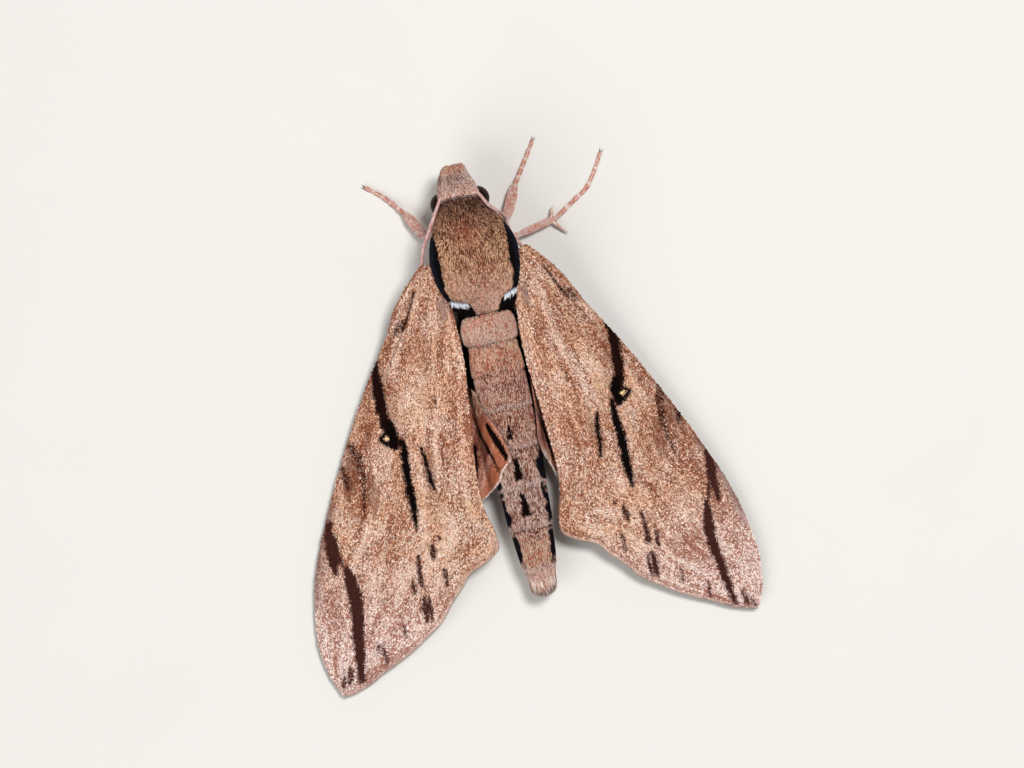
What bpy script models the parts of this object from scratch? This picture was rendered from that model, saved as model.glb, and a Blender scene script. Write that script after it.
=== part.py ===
# A large hawkmoth at rest, life size, wings folded back over the body like a low roof.
# Sizes are in millimetres. MM turns them into metres where a mesh is made.
# +Y points forward to the head, +X to the moth's right, +Z up. The six feet rest on z = 0.

import math
import random

import bmesh
import bpy
import numpy as np
from mathutils import Vector
from mathutils.geometry import delaunay_2d_cdt

MM = 0.001
GAP = 0.3                    # between parts that touch
SEED = 11

# Body, from the front of the head to the tip of the abdomen:
# station along Y, half width, top height, bottom height, sideways shift of the axis
BODY_PROFILE = [
    (9.75, 1.20, 9.2, 6.6, -0.60),
    (9.4, 1.85, 9.9, 5.6, -0.58),
    (8.8, 2.35, 10.7, 4.9, -0.55),
    (7.8, 2.75, 11.4, 4.3, -0.48),
    (6.6, 2.95, 11.8, 4.0, -0.42),
    (5.4, 3.55, 12.3, 3.7, -0.34),
    (3.9, 4.40, 12.9, 3.3, -0.20),
    (2.4, 5.35, 13.4, 3.0, -0.10),
    (0.3, 6.10, 13.8, 2.8, 0.0),
    (-1.5, 6.25, 13.9, 2.7, 0.0),
    (-3.5, 6.05, 13.7, 2.7, 0.0),
    (-5.5, 5.45, 13.1, 2.9, 0.0),
    (-7.0, 4.50, 12.2, 3.2, 0.0),
    (-7.9, 3.45, 11.5, 3.6, 0.0),
    (-8.4, 2.60, 11.1, 4.0, 0.0),
    (-8.8, 3.10, 11.1, 3.8, 0.0),
    (-9.6, 3.62, 11.3, 3.4, -0.04),
    (-10.8, 3.85, 11.5, 3.0, -0.08),
    (-12.0, 3.70, 11.3, 2.9, -0.04),
    (-12.8, 3.45, 11.0, 2.9, 0.03),
    (-14.5, 3.55, 11.0, 2.8, 0.05),
    (-20.0, 3.60, 10.4, 2.4, 0.10),
    (-26.0, 3.60, 9.6, 2.1, 0.15),
    (-32.0, 3.35, 8.7, 1.9, 0.20),
    (-38.0, 2.95, 7.7, 1.7, 0.25),
    (-42.0, 2.50, 6.8, 1.7, 0.30),
    (-45.0, 1.85, 6.0, 1.9, 0.30),
]
SHOULDER = 2.35              # section exponent: 2 is an ellipse, more is squarer
BODY_SIDES = 24

# Cuts across the body: where each part ends
HEAD_BACK = 4.65
COLLAR_BACK = 2.9
THORAX_BACK = -8.35
ABDOMEN_ENDS = [-12.2, -16.4, -21.3, -26.6, -32.0, -37.4, -43.0]
SEGMENT_BULGE = 0.10         # each ring of the abdomen swells by this in its middle
TAIL_TIP = -46.9

# Eyes, palps and tongue
EYE_CENTRE = (2.34, 6.6, 7.75)   # from the head's own axis
EYE_RADIUS = 1.55
PALP_PATH = [(0.92, 8.6, 3.7), (0.93, 9.9, 4.6), (0.93, 10.75, 6.1), (0.92, 10.85, 7.6), (0.86, 10.6, 8.7)]
PALP_RADII = [0.45, 0.66, 0.72, 0.70, 0.42]
TONGUE_CENTRE = (0.0, 8.1, 2.7)
TONGUE_TURNS = 1.8
TONGUE_RADIUS = 1.05
TONGUE_THICKNESS = 0.28

# Antennae: laid back along the flanks of the head and thorax, then under the wing base
ANTENNA_RADIUS = 0.32
ANTENNA_ON_BODY = {
    "left": [(8.3, 38.0), (7.8, 38.0), (6.6, 36.0), (5.0, 24.0), (3.2, 16.0), (1.6, 6.0)],
    "right": [(8.3, 38.0), (7.8, 38.0), (6.6, 37.0), (5.2, 34.0), (4.3, 20.0), (3.6, -4.0), (2.8, -24.0),
              (1.4, -33.0)],
}
ANTENNA_UNDER_WING = {
    "left": [(7.15, -0.8, 7.3), (7.9, -3.4, 6.6), (9.2, -6.6, 5.5), (10.4, -9.2, 4.5), (11.0, -10.6, 4.1)],
    "right": [(6.55, -1.0, 5.6), (7.7, -3.4, 5.7), (9.2, -6.6, 5.2), (10.4, -9.2, 4.5), (11.0, -10.6, 4.1)],
}
ANTENNA_HOOK = (11.7, -11.3, 4.1)

# Forewing outline in the wing's own frame: s runs from hinge to apex, t across to the body
HINGE = (6.3, 0.0)
SWEEP = {"right": 22.0, "left": 22.4}            # degrees out from straight back
WING_LENGTH = {"right": 58.45, "left": 59.4}
COSTA_BOW = {"right": 5.75, "left": 6.9}         # how far the front edge bows out
COSTA_SHAPE = [(0.0, 0.0), (0.05, 0.24), (0.10, 0.40), (0.20, 0.53), (0.30, 0.70), (0.41, 0.84), (0.51, 0.93),
               (0.62, 0.99), (0.72, 1.00), (0.82, 0.88), (0.92, 0.58), (0.97, 0.28), (1.0, 0.0)]
OUTER_MARGIN = [(58.3, 1.0), (56.7, 3.0), (54.7, 4.7), (52.9, 6.4), (50.9, 8.1), (48.7, 9.6), (46.6, 11.0),
                (44.0, 11.8), (41.6, 12.8), (39.2, 13.7), (37.5, 15.4), (35.6, 16.5)]
INNER_MARGIN = [(34.1, 16.0), (31.0, 13.8), (27.6, 12.2), (24.0, 11.0), (20.4, 9.9), (16.7, 8.8), (13.1, 7.7),
                (10.2, 6.6)]
MARGIN_LENGTH = 58.9         # wing length at which the two margins above were drawn

# Forewing heights above the floor along the wing: at the front edge and at the hind edge
COSTA_HEIGHT = [(0.0, 8.9), (3.0, 7.7), (6.0, 6.3), (10.0, 4.7), (16.0, 3.1), (24.0, 2.2), (36.0, 1.75),
                (48.0, 1.55), (60.0, 1.5)]
HIND_EDGE_HEIGHT = [(0.0, 9.7), (6.0, 9.4), (12.0, 8.7), (20.0, 7.7), (28.0, 6.6), (35.3, 5.2), (42.0, 3.8),
                    (50.0, 2.4), (60.0, 1.5)]
WING_THICKNESS = 0.5
WING_CLEARANCE = 0.12        # more room than the gap beside the thorax, whose side bulges under the wing
VEIN_HEIGHT = 0.22
VEIN_HALF_WIDTH = 0.38

# Forewing veins in the same frame, root to margin
FOREWING_VEINS = {
    "Sc": [(2.2, -0.3), (12, -2.5), (24, -4.1), (33, -5.0)],
    "R1": [(14, -1.7), (28, -3.5), (40, -5.0)],
    "R2": [(20, -2.3), (36, -3.9), (49, -4.3)],
    "R4": [(2.2, 0.5), (12, -1.4), (24, -2.6), (42, -2.9), (55, -1.6)],
    "M1": [(24, -2.6), (40, -0.6), (55.6, 2.9)],
    "M2": [(24.4, 0.4), (38, 3.1), (51.9, 6.3)],
    "M3": [(23.6, 3.0), (36, 6.3), (47.7, 9.3)],
    "CuA1": [(2.6, 1.4), (12, 2.6), (22.5, 4.6), (33, 8.6), (43.2, 11.3)],
    "CuA2": [(16.5, 3.4), (28, 8.6), (38.4, 13.1)],
    "1A": [(3.4, 2.4), (12, 5.2), (24, 9.2), (31, 12.4), (34.6, 15.2)],
    "cross": [(24, -2.6), (24.6, 0.4), (23.6, 3.0), (22.5, 4.6)],
}

# Hindwing, folded under the forewing. Points are given on the moth's right side, in the body frame
FOLD_LINES = (1.4, 2.1, 2.8, 3.4, 3.9, 4.3, 4.8, 5.5, 6.3)   # where its mesh needs points to bend
DRAPE_FALL = 6.0             # how steeply the fold falls off the side of the abdomen
HINDWING_DROP = 1.75         # its lower face lies this far below the forewing's upper face
HINDWING_COSTA = [(7.3, -5.8), (8.7, -10.0), (11.4, -16.0), (14.8, -23.0), (18.2, -30.0), (20.4, -36.0),
                  (21.6, -40.4)]
HINDWING_OUTER = [(21.0, -42.6), (18.6, -43.2), (15.4, -41.6), (12.2, -39.6), (9.2, -37.0), (6.9, -35.4)]
HINDWING_FOLD = {            # inner edge: the left one climbs over the side of the abdomen
    "right": [(5.6, -33.6), (4.6, -31.0), (4.35, -27.0), (4.35, -23.0), (4.35, -18.0), (4.35, -13.0),
              (4.6, -10.0)],
    "left": [(5.65, -34.2), (5.2, -32.9), (4.0, -32.1), (2.55, -30.8), (1.7, -29.4), (0.62, -28.3),
             (0.62, -26.9), (1.08, -25.3), (1.75, -23.4), (2.6, -21.9), (3.5, -20.0), (4.2, -17.5),
             (4.3, -14.0), (4.6, -10.0)],
}
HINDWING_VEINS = {
    "Sc": [(7.4, -7.6), (10.2, -15.0), (14.6, -25.0), (18.6, -35.0), (20.4, -40.8)],
    "M1": [(6.9, -8.3), (10.2, -18.0), (14.4, -29.0), (17.6, -40.8)],
    "M3": [(10.0, -17.6), (12.2, -28.0), (14.4, -39.4)],
    "CuA": [(6.4, -8.8), (8.0, -18.0), (10.0, -28.0), (11.4, -37.2)],
    "1A": [(5.9, -9.4), (6.4, -18.0), (7.2, -27.0), (8.2, -35.0)],
}
HINDWING_VEIN_HEIGHT = 0.15

# Legs: where each leaves the body (station, angle below the side), then knee, ankle and route of the foot
LEGS = {
    "fore_right": {"hip": (3.8, -60.0), "knee": (5.2, 3.3, 2.0), "ankle": (7.1, 7.4, 1.15),
                   "foot": [(8.8, 10.0, 0.40), (9.7, 11.4, 0.27), (10.7, 13.0, 0.27)]},
    "fore_left": {"hip": (3.8, -60.0), "knee": (-5.9, 3.0, 2.0), "ankle": (-7.9, 6.5, 1.15),
                  "foot": [(-9.7, 8.7, 0.40), (-11.0, 10.0, 0.27), (-12.6, 11.2, 0.27)]},
    "mid_right": {"hip": (0.4, -56.0), "knee": (6.3, 0.85, 2.4), "ankle": (11.7, 2.1, 1.3),
                  "foot": [(14.6, 4.0, 0.45), (16.4, 5.2, 0.27), (17.7, 6.85, 0.27), (19.3, 9.6, 0.27)]},
    "mid_left": {"hip": (0.4, -56.0), "knee": (-6.3, -1.3, 2.5), "ankle": (-9.0, -6.6, 1.2),
                 "foot": [(-10.6, -9.4, 0.45), (-12.0, -12.0, 0.27), (-13.6, -15.4, 0.27)]},
    "hind_right": {"hip": (-4.6, -58.0), "knee": (6.2, -9.3, 2.5), "ankle": (8.0, -17.2, 1.2),
                   "foot": [(8.9, -20.6, 0.45), (9.7, -23.4, 0.27), (10.8, -27.4, 0.27)]},
    "hind_left": {"hip": (-4.6, -58.0), "knee": (-6.2, -9.3, 2.5), "ankle": (-8.0, -17.2, 1.2),
                  "foot": [(-8.9, -20.6, 0.45), (-9.7, -23.4, 0.27), (-10.8, -27.4, 0.27)]},
}
LEG_RADII = {                # femur, tibia, tarsus
    "fore": (0.66, 0.72, 0.30),
    "mid": (0.62, 0.50, 0.30),
    "hind": (0.66, 0.54, 0.32),
}
KNEE_ROOM = 0.42             # each side of a knee, so that the bent ends keep the gap
ANKLE_ROOM = 0.24
SPUR_LENGTH = 3.0
SPUR_RADIUS = 0.26

# White-tipped tufts behind the thorax, and the brush at the end of the abdomen
TUFT_LOCKS = 7
TUFT_START = (-8.0, 66.0)    # station and angle on the thorax of the inner lock, then of the outer one
TUFT_END = (-7.1, 30.0)
TUFT_ROOT = 0.62             # the roots' height over the thorax
TUFT_BAR = 0.24              # radius of the fold of skin that the locks grow from
TUFT_RISE = 0.9
TUFT_LEAN = 1.9
LOCK_RADIUS = 0.30
LOCK_TIP = 0.08
TAIL_LOCKS = 14
TAIL_LOCK_RADIUS = 0.55
TAIL_CORE = 0.45             # the core's share of the brush's length

# Colours (linear), roughness
COLOURS = {
    "thorax_hair": (0.20, 0.115, 0.052),
    "head_hair": (0.19, 0.095, 0.055),
    "abdomen_hair": (0.26, 0.13, 0.085),
    "wing_scales": (0.30, 0.155, 0.082),
    "hindwing_scales": (0.24, 0.095, 0.055),
    "leg_scales": (0.36, 0.13, 0.08),
    "antenna": (0.52, 0.36, 0.33),
    "eye": (0.030, 0.014, 0.010),
    "black_tuft": (0.010, 0.009, 0.012),
    "horn": (0.13, 0.06, 0.03),
}
ROUGHNESS = {"eye": 0.18, "horn": 0.4}


def clear_scene():
    for item in list(bpy.data.objects):
        bpy.data.objects.remove(item, do_unlink=True)


def material(name):
    found = bpy.data.materials.get(name)
    if found:
        return found
    made = bpy.data.materials.new(name)
    made.use_nodes = True
    shader = made.node_tree.nodes["Principled BSDF"]
    shader.inputs["Base Color"].default_value = (*COLOURS[name], 1.0)
    shader.inputs["Roughness"].default_value = ROUGHNESS.get(name, 0.75)
    shader.inputs["Metallic"].default_value = 0.0
    return made


# Curves through tables and points

def smooth(table, at, column=1):
    """Height of the smooth curve through a table's column, at a place in its first column."""
    rows = sorted(table)
    xs = np.array([row[0] for row in rows])
    ys = np.array([row[column] for row in rows])
    slopes = np.gradient(ys, xs)
    i = int(np.clip(np.searchsorted(xs, at) - 1, 0, len(xs) - 2))
    width = xs[i + 1] - xs[i]
    u = min(max((at - xs[i]) / width, 0.0), 1.0)
    rise = (2 * u**3 - 3 * u**2 + 1) * ys[i] + (-2 * u**3 + 3 * u**2) * ys[i + 1]
    turn = (u**3 - 2 * u**2 + u) * slopes[i] + (u**3 - u**2) * slopes[i + 1]
    return float(rise + width * turn)


def through(points, step):
    """Points about one step apart on the smooth curve through the given ones."""
    pts = np.array(points, dtype=float)
    lengths = np.r_[0.0, np.cumsum(np.linalg.norm(np.diff(pts, axis=0), axis=1))]
    count = max(2, int(round(lengths[-1] / step)) + 1)
    table = [(lengths[i], *pts[i]) for i in range(len(pts))]
    places = np.linspace(0.0, lengths[-1], count)
    return [tuple(smooth(table, at, k + 1) for k in range(pts.shape[1])) for at in places]


# Mesh building

def add_mesh(name, points, faces, material_name):
    mesh = bpy.data.meshes.new(name)
    mesh.from_pydata([tuple(c * MM for c in p) for p in points], [], faces)
    work = bmesh.new()
    work.from_mesh(mesh)
    bmesh.ops.recalc_face_normals(work, faces=work.faces)
    if work.calc_volume(signed=True) < 0:
        bmesh.ops.reverse_faces(work, faces=work.faces)
    work.to_mesh(mesh)
    work.free()
    mesh.materials.append(material(material_name))
    mesh.shade_smooth()
    mesh.set_sharp_from_angle(angle=math.radians(40))
    made = bpy.data.objects.new(name, mesh)
    bpy.context.scene.collection.objects.link(made)
    return made


def loft(name, rings, material_name):
    """A closed body through rings of equal point count, with flat ends."""
    sides = len(rings[0])
    points = [p for ring in rings for p in ring]
    faces = []
    for r in range(len(rings) - 1):
        for k in range(sides):
            a = r * sides + k
            b = r * sides + (k + 1) % sides
            faces.append((a, b, b + sides))
            faces.append((a, b + sides, a + sides))
    faces.append(tuple(range(sides))[::-1])
    faces.append(tuple(range((len(rings) - 1) * sides, len(rings) * sides)))
    return add_mesh(name, points, faces, material_name)


def tube(name, path, radii, material_name, sides=8, flatten=1.0, across=None, floor=None):
    """A tube along a path. flatten squashes it at right angles to the direction named by across."""
    pts = [Vector(p) for p in path]
    side = None
    rings = []
    for i, p in enumerate(pts):
        ahead = (pts[min(i + 1, len(pts) - 1)] - pts[max(i - 1, 0)]).normalized()
        if across is not None:
            side = Vector(across) - ahead * ahead.dot(Vector(across))
        elif side is None:
            side = ahead.cross(Vector((0, 0, 1)))
            if side.length < 0.1:
                side = ahead.cross(Vector((0, 1, 0)))
        else:
            side = side - ahead * ahead.dot(side)
        side = side.normalized()
        up = side.cross(ahead)
        ring = []
        for k in range(sides):
            turn = 2 * math.pi * (k + 0.5) / sides
            q = p + radii[i] * (math.cos(turn) * side + math.sin(turn) * flatten * up)
            if floor is not None:
                q.z = max(q.z, floor)
            ring.append(tuple(q))
        rings.append(ring)
    return loft(name, rings, material_name)


def radii_along(path, profile):
    """Radii for a path's points from a short list of radii spread evenly along it."""
    places = np.linspace(0.0, 1.0, len(profile))
    return [float(r) for r in np.interp(np.linspace(0.0, 1.0, len(path)), places, profile)]


def keep_largest(work):
    """Drop every closed surface of a bmesh but the largest one."""
    left = set(work.faces)
    shells = []
    while left:
        shell = {left.pop()}
        edge = list(shell)
        while edge:
            face = edge.pop()
            for near in (f for e in face.edges for f in e.link_faces):
                if near in left:
                    left.discard(near)
                    shell.add(near)
                    edge.append(near)
        shells.append(shell)
    shells.sort(key=lambda s: sum(f.calc_area() for f in s))
    scraps = [f for s in shells[:-1] for f in s]
    bmesh.ops.delete(work, geom=scraps, context="FACES")


def boolean(base, others, operation, solver="EXACT"):
    """Apply one Boolean of a collection of closed objects to base, then remove them."""
    group = bpy.data.collections.new(base.name + "_pieces")
    for item in others:
        group.objects.link(item)
    step = base.modifiers.new("join", "BOOLEAN")
    step.operation = operation
    step.operand_type = "COLLECTION"
    step.collection = group
    step.solver = solver
    bpy.context.view_layer.update()
    result = bpy.data.meshes.new_from_object(base.evaluated_get(bpy.context.evaluated_depsgraph_get()))
    base.modifiers.clear()
    work = bmesh.new()
    work.from_mesh(result)
    keep_largest(work)
    bmesh.ops.dissolve_degenerate(work, dist=0.002 * MM, edges=work.edges)
    work.to_mesh(result)
    work.free()
    base.data = result
    for item in others:
        bpy.data.objects.remove(item, do_unlink=True)
    bpy.data.collections.remove(group)
    return base


# Body

def body_size(y):
    half_width = smooth(BODY_PROFILE, y, 1)
    top = smooth(BODY_PROFILE, y, 2)
    bottom = smooth(BODY_PROFILE, y, 3)
    middle = smooth(BODY_PROFILE, y, 4)
    return half_width, (top + bottom) / 2, (top - bottom) / 2, middle


def body_point(y, degrees, grow=0.0):
    """A point on the body's right side: 0 degrees is the flank, 90 the back, -90 the belly."""
    half_width, level, half_height, middle = body_size(y)
    turn = math.radians(degrees)
    c = math.cos(turn)
    s = math.sin(turn)
    x = math.copysign(abs(c) ** (2 / SHOULDER), c)
    z = math.copysign(abs(s) ** (2 / SHOULDER), s)
    return middle + x * (half_width + grow), y, level + z * (half_height + grow)


def body_ring(y, grow=0.0, sides=BODY_SIDES):
    return [body_point(y, 360.0 * k / sides, grow) for k in range(sides)]


def body_part(name, front, back, rings, material_name, bulge=0.0):
    ys = [front + (back - front) * i / (rings - 1) for i in range(rings)]
    swell = [bulge * math.sin(math.pi * i / (rings - 1)) for i in range(rings)]
    return loft(name, [body_ring(y, g) for y, g in zip(ys, swell)], material_name)


def make_head():
    head = body_part("head", BODY_PROFILE[0][0], HEAD_BACK + GAP / 2, 9, "head_hair")
    middle = smooth(BODY_PROFILE, EYE_CENTRE[1], 4)
    sockets = []
    for side, sign in (("right", 1), ("left", -1)):
        centre = (middle + sign * EYE_CENTRE[0], EYE_CENTRE[1], EYE_CENTRE[2])
        ball("eye_" + side, centre, EYE_RADIUS, "eye")
        sockets.append(ball("socket_" + side, centre, EYE_RADIUS + GAP, "head_hair"))
    boolean(head, sockets, "DIFFERENCE")


def ball(name, centre, radius, material_name):
    mesh = bpy.data.meshes.new(name)
    work = bmesh.new()
    bmesh.ops.create_uvsphere(work, u_segments=18, v_segments=12, radius=radius * MM)
    bmesh.ops.translate(work, verts=work.verts, vec=Vector(centre) * MM)
    work.to_mesh(mesh)
    work.free()
    mesh.materials.append(material(material_name))
    mesh.shade_smooth()
    made = bpy.data.objects.new(name, mesh)
    bpy.context.scene.collection.objects.link(made)
    return made


def make_body():
    make_head()
    body_part("collar", HEAD_BACK - GAP / 2, COLLAR_BACK + GAP / 2, 5, "thorax_hair")
    body_part("thorax", COLLAR_BACK - GAP / 2, THORAX_BACK, 15, "thorax_hair")
    front = THORAX_BACK - GAP
    for number, back in enumerate(ABDOMEN_ENDS, start=1):
        rings = 8 if number == 1 else 5
        body_part("abdomen_%d" % number, front, back, rings, "abdomen_hair", SEGMENT_BULGE)
        front = back - GAP


def make_palps():
    middle = BODY_PROFILE[0][4]
    for side, sign in (("right", 1), ("left", -1)):
        path = through([(middle + sign * x, y, z) for x, y, z in PALP_PATH], 0.8)
        tube("palp_" + side, path, radii_along(path, PALP_RADII), "head_hair", sides=10, flatten=1.15,
             across=(1, 0, 0))


def make_tongue():
    """The coiled tongue under the head, one flat spiral."""
    middle = BODY_PROFILE[1][4]
    x, y, z = TONGUE_CENTRE
    steps = int(TONGUE_TURNS * 16)
    path = []
    for i in range(steps + 1):
        turn = 2 * math.pi * TONGUE_TURNS * i / steps
        reach = TONGUE_RADIUS * (1.0 - 0.74 * i / steps)
        path.append((middle + x, y - reach * math.sin(turn), z + reach * math.cos(turn)))
    thick = radii_along(path, [TONGUE_THICKNESS, TONGUE_THICKNESS * 0.8, 0.12])
    tube("tongue", path, thick, "horn", sides=6)


def make_antennae():
    for side, sign in (("right", 1), ("left", -1)):
        route = []
        for station, degrees in ANTENNA_ON_BODY[side]:
            x, y, z = body_point(station, degrees, GAP + 0.1 + ANTENNA_RADIUS)
            middle = smooth(BODY_PROFILE, y, 4)
            route.append((middle + sign * (x - middle), y, z))
        route += [(sign * x, y, z) for x, y, z in ANTENNA_UNDER_WING[side] + [ANTENNA_HOOK]]
        path = through(route, 0.9)
        thick = radii_along(path, [0.8, 1.0, 1.0, 1.0, 1.0, 1.1, 0.95, 0.3])
        tube("antenna_" + side, path, [ANTENNA_RADIUS * r for r in thick], "antenna", sides=6)


# Wings

def wing_axes(side):
    turn = math.radians(SWEEP[side])
    return (math.sin(turn), -math.cos(turn)), (-math.cos(turn), -math.sin(turn))


def to_body(side, s, t):
    """A forewing's own frame to the body's frame, both drawn on the right."""
    along, across = wing_axes(side)
    return HINGE[0] + s * along[0] + t * across[0], HINGE[1] + s * along[1] + t * across[1]


def to_wing(side, x, y):
    along, across = wing_axes(side)
    dx = x - HINGE[0]
    dy = y - HINGE[1]
    return dx * along[0] + dy * along[1], dx * across[0] + dy * across[1]


def costa(side, s):
    return -COSTA_BOW[side] * smooth(COSTA_SHAPE, s / WING_LENGTH[side])


def hind_edge(side, s):
    stretch = WING_LENGTH[side] / MARGIN_LENGTH
    line = [(MARGIN_LENGTH * stretch, 0.0)] + [(a * stretch, b) for a, b in OUTER_MARGIN + INNER_MARGIN]
    line += [(5.0, 4.4), (0.0, 2.4)]
    return smooth(line, s)


def forewing_level(side, x, y):
    """Height of the forewing's upper face, without veins."""
    s, t = to_wing(side, x, y)
    s = min(max(s, 0.0), WING_LENGTH[side] - 0.4)
    front = costa(side, s)
    back = hind_edge(side, s)
    u = min(max((t - front) / (back - front), -0.1), 1.15)
    low = smooth(COSTA_HEIGHT, s)
    return low + (smooth(HIND_EDGE_HEIGHT, s) - low) * math.sin(math.pi / 2 * u)


def thorax_edge(y):
    return body_size(y)[0] + GAP + WING_CLEARANCE


def distance_to(lines, x, y):
    """Distance from a point to the nearest of several sampled lines."""
    best = 1e9
    for line in lines:
        near = np.min(np.hypot(line[:, 0] - x, line[:, 1] - y))
        best = min(best, near)
    return best


def membrane(name, outline, veins, level, thickness_below, grid, vein_height, material_name, sign, dense=()):
    """A thin wing: an outline filled with triangles that are alike on both faces, veins raised on top."""
    edge = np.array(outline + outline[:1])
    rim = np.array(through(outline + outline[:1], 0.3))
    fine = [np.array(through(v, 0.15)) for v in veins]
    points = [tuple(p) for p in outline]
    links = [(i, (i + 1) % len(outline)) for i in range(len(outline))]
    for vein in veins:
        line = [p for p in through(vein, 2.3) if inside(edge, p) and distance_to([rim], *p) > 0.3]
        first = len(points)
        points += line
        links += [(first + i, first + i + 1) for i in range(len(line) - 1)]
    core = list(points)
    for n, vein in enumerate(veins):
        line = np.array(through(vein, 2.3))
        ahead = np.gradient(line, axis=0)
        ahead /= np.linalg.norm(ahead, axis=1)[:, None]
        others = fine[:n] + fine[n + 1:]
        for offset in (-VEIN_HALF_WIDTH, VEIN_HALF_WIDTH):
            for p, d in zip(line, ahead):
                q = (p[0] - d[1] * offset, p[1] + d[0] * offset)
                clear = distance_to(others, *q) > VEIN_HALF_WIDTH
                if clear and inside(edge, q) and distance_to([rim], *q) > 0.3:
                    core.append(q)
    core += [q for q in dense if inside(edge, q) and distance_to([np.array(core)], *q) > 0.45]
    low = edge.min(axis=0)
    high = edge.max(axis=0)
    row = 0
    placed = np.array(core)
    y = low[1]
    while y < high[1]:
        x = low[0] + (grid / 2 if row % 2 else 0.0)
        while x < high[0]:
            room = np.min(np.hypot(placed[:, 0] - x, placed[:, 1] - y)) > 0.45 * grid
            if room and inside(edge, (x, y)):
                core.append((x, y))
            x += grid
        y += grid * 0.87
        row += 1
    found = delaunay_2d_cdt([Vector(p) for p in core], links, [list(range(len(outline)))], 1, 1e-4)
    flat = [(v.x, v.y) for v in found[0]]
    triangles = [tuple(f) for f in found[2] if len(f) == 3]
    upper = []
    lower = []
    for x, y in flat:
        z = level(x, y)
        tilt = 0.05
        dx = (level(x + tilt, y) - level(x - tilt, y)) / (2 * tilt)
        dy = (level(x, y + tilt) - level(x, y - tilt)) / (2 * tilt)
        normal = Vector((-dx, -dy, 1.0)).normalized()
        ridge = vein_height * max(0.0, 1.0 - distance_to(fine, x, y) / VEIN_HALF_WIDTH)
        here = Vector((x, y, z))
        top = here + normal * (ridge + (0.0 if thickness_below else WING_THICKNESS))
        under = here - normal * (WING_THICKNESS if thickness_below else 0.0)
        upper.append((sign * top.x, top.y, top.z))
        lower.append((sign * under.x, under.y, under.z))
    count = len(flat)
    faces = list(triangles)
    faces += [tuple(i + count for i in reversed(f)) for f in triangles]
    edges = {}
    for f in triangles:
        for a, b in zip(f, f[1:] + f[:1]):
            edges[(a, b)] = True
    for a, b in edges:
        if (b, a) not in edges:
            faces.append((b, a, a + count))
            faces.append((b, a + count, b + count))
    return add_mesh(name, upper + lower, faces, material_name)


def inside(edge, q):
    """Whether a point lies inside a closed outline."""
    x, y = q
    x0, y0 = edge[:-1, 0], edge[:-1, 1]
    x1, y1 = edge[1:, 0], edge[1:, 1]
    crosses = (y0 > y) != (y1 > y)
    with np.errstate(divide="ignore", invalid="ignore"):
        at = x0 + (y - y0) * (x1 - x0) / (y1 - y0)
    return bool(np.count_nonzero(crosses & (x < at)) % 2)


def forewing_outline(side):
    length = WING_LENGTH[side]
    stretch = length / MARGIN_LENGTH
    front = [(s, costa(side, s)) for s in np.linspace(1.2, length, 30)]
    back = through([(a * stretch, b) for a, b in OUTER_MARGIN], 1.6)
    inner = through([(a * stretch, b) for a, b in INNER_MARGIN], 2.0)
    outline = [to_body(side, s, t) for s, t in front + back + inner]
    outline += [(thorax_edge(y), y) for y in (-7.3, -6.2, -5.0, -3.8, -2.6, -1.5)]
    return outline


def make_forewing(side, sign):
    veins = [[to_body(side, s, t) for s, t in line] for line in FOREWING_VEINS.values()]
    membrane("forewing_" + side, forewing_outline(side), veins, lambda x, y: forewing_level(side, x, y),
             True, 3.2, VEIN_HEIGHT, "wing_scales", sign)


def hindwing_level(side, sign, x, y):
    """Height of the hindwing's lower face: under the forewing, and up over the flank of the abdomen."""
    folded = forewing_level(side, max(x, 4.9), y) - HINDWING_DROP
    half_width, level, half_height, middle = body_size(min(y, THORAX_BACK - 3.0))
    room = GAP + SEGMENT_BULGE + 0.12
    beside = abs(x - sign * middle) - half_width - room
    if beside >= 0.0:
        draped = level - DRAPE_FALL * beside
    else:
        reach = 1.0 + beside / (half_width + room)
        draped = level + (half_height + room) * (1.0 - reach**SHOULDER) ** (1 / SHOULDER)
    blend = 0.05
    gap = draped - folded
    return folded + 0.5 * (gap + math.sqrt(gap * gap + blend))


def make_hindwing(side, sign):
    front = through(HINDWING_COSTA, 2.6)
    outer = through(HINDWING_OUTER, 2.0)
    inner = through(HINDWING_FOLD[side], 1.3 if side == "left" else 2.0)
    root = [(thorax_edge(y) + 0.1, y) for y in (-7.2, -6.6)]
    dense = [(x, y) for x in FOLD_LINES for y in np.arange(-34.0, -19.0, 1.6)]
    membrane("hindwing_" + side, front + outer + inner + root, list(HINDWING_VEINS.values()),
             lambda x, y: hindwing_level(side, sign, x, y), False, 2.6, HINDWING_VEIN_HEIGHT,
             "hindwing_scales", sign, dense)


# Legs

def between(a, b, share):
    return tuple(p + (q - p) * share for p, q in zip(a, b))


def pull_back(a, b, distance):
    """The point a, moved towards b by a distance."""
    a = Vector(a)
    return tuple(a + (Vector(b) - a).normalized() * distance)


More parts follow.
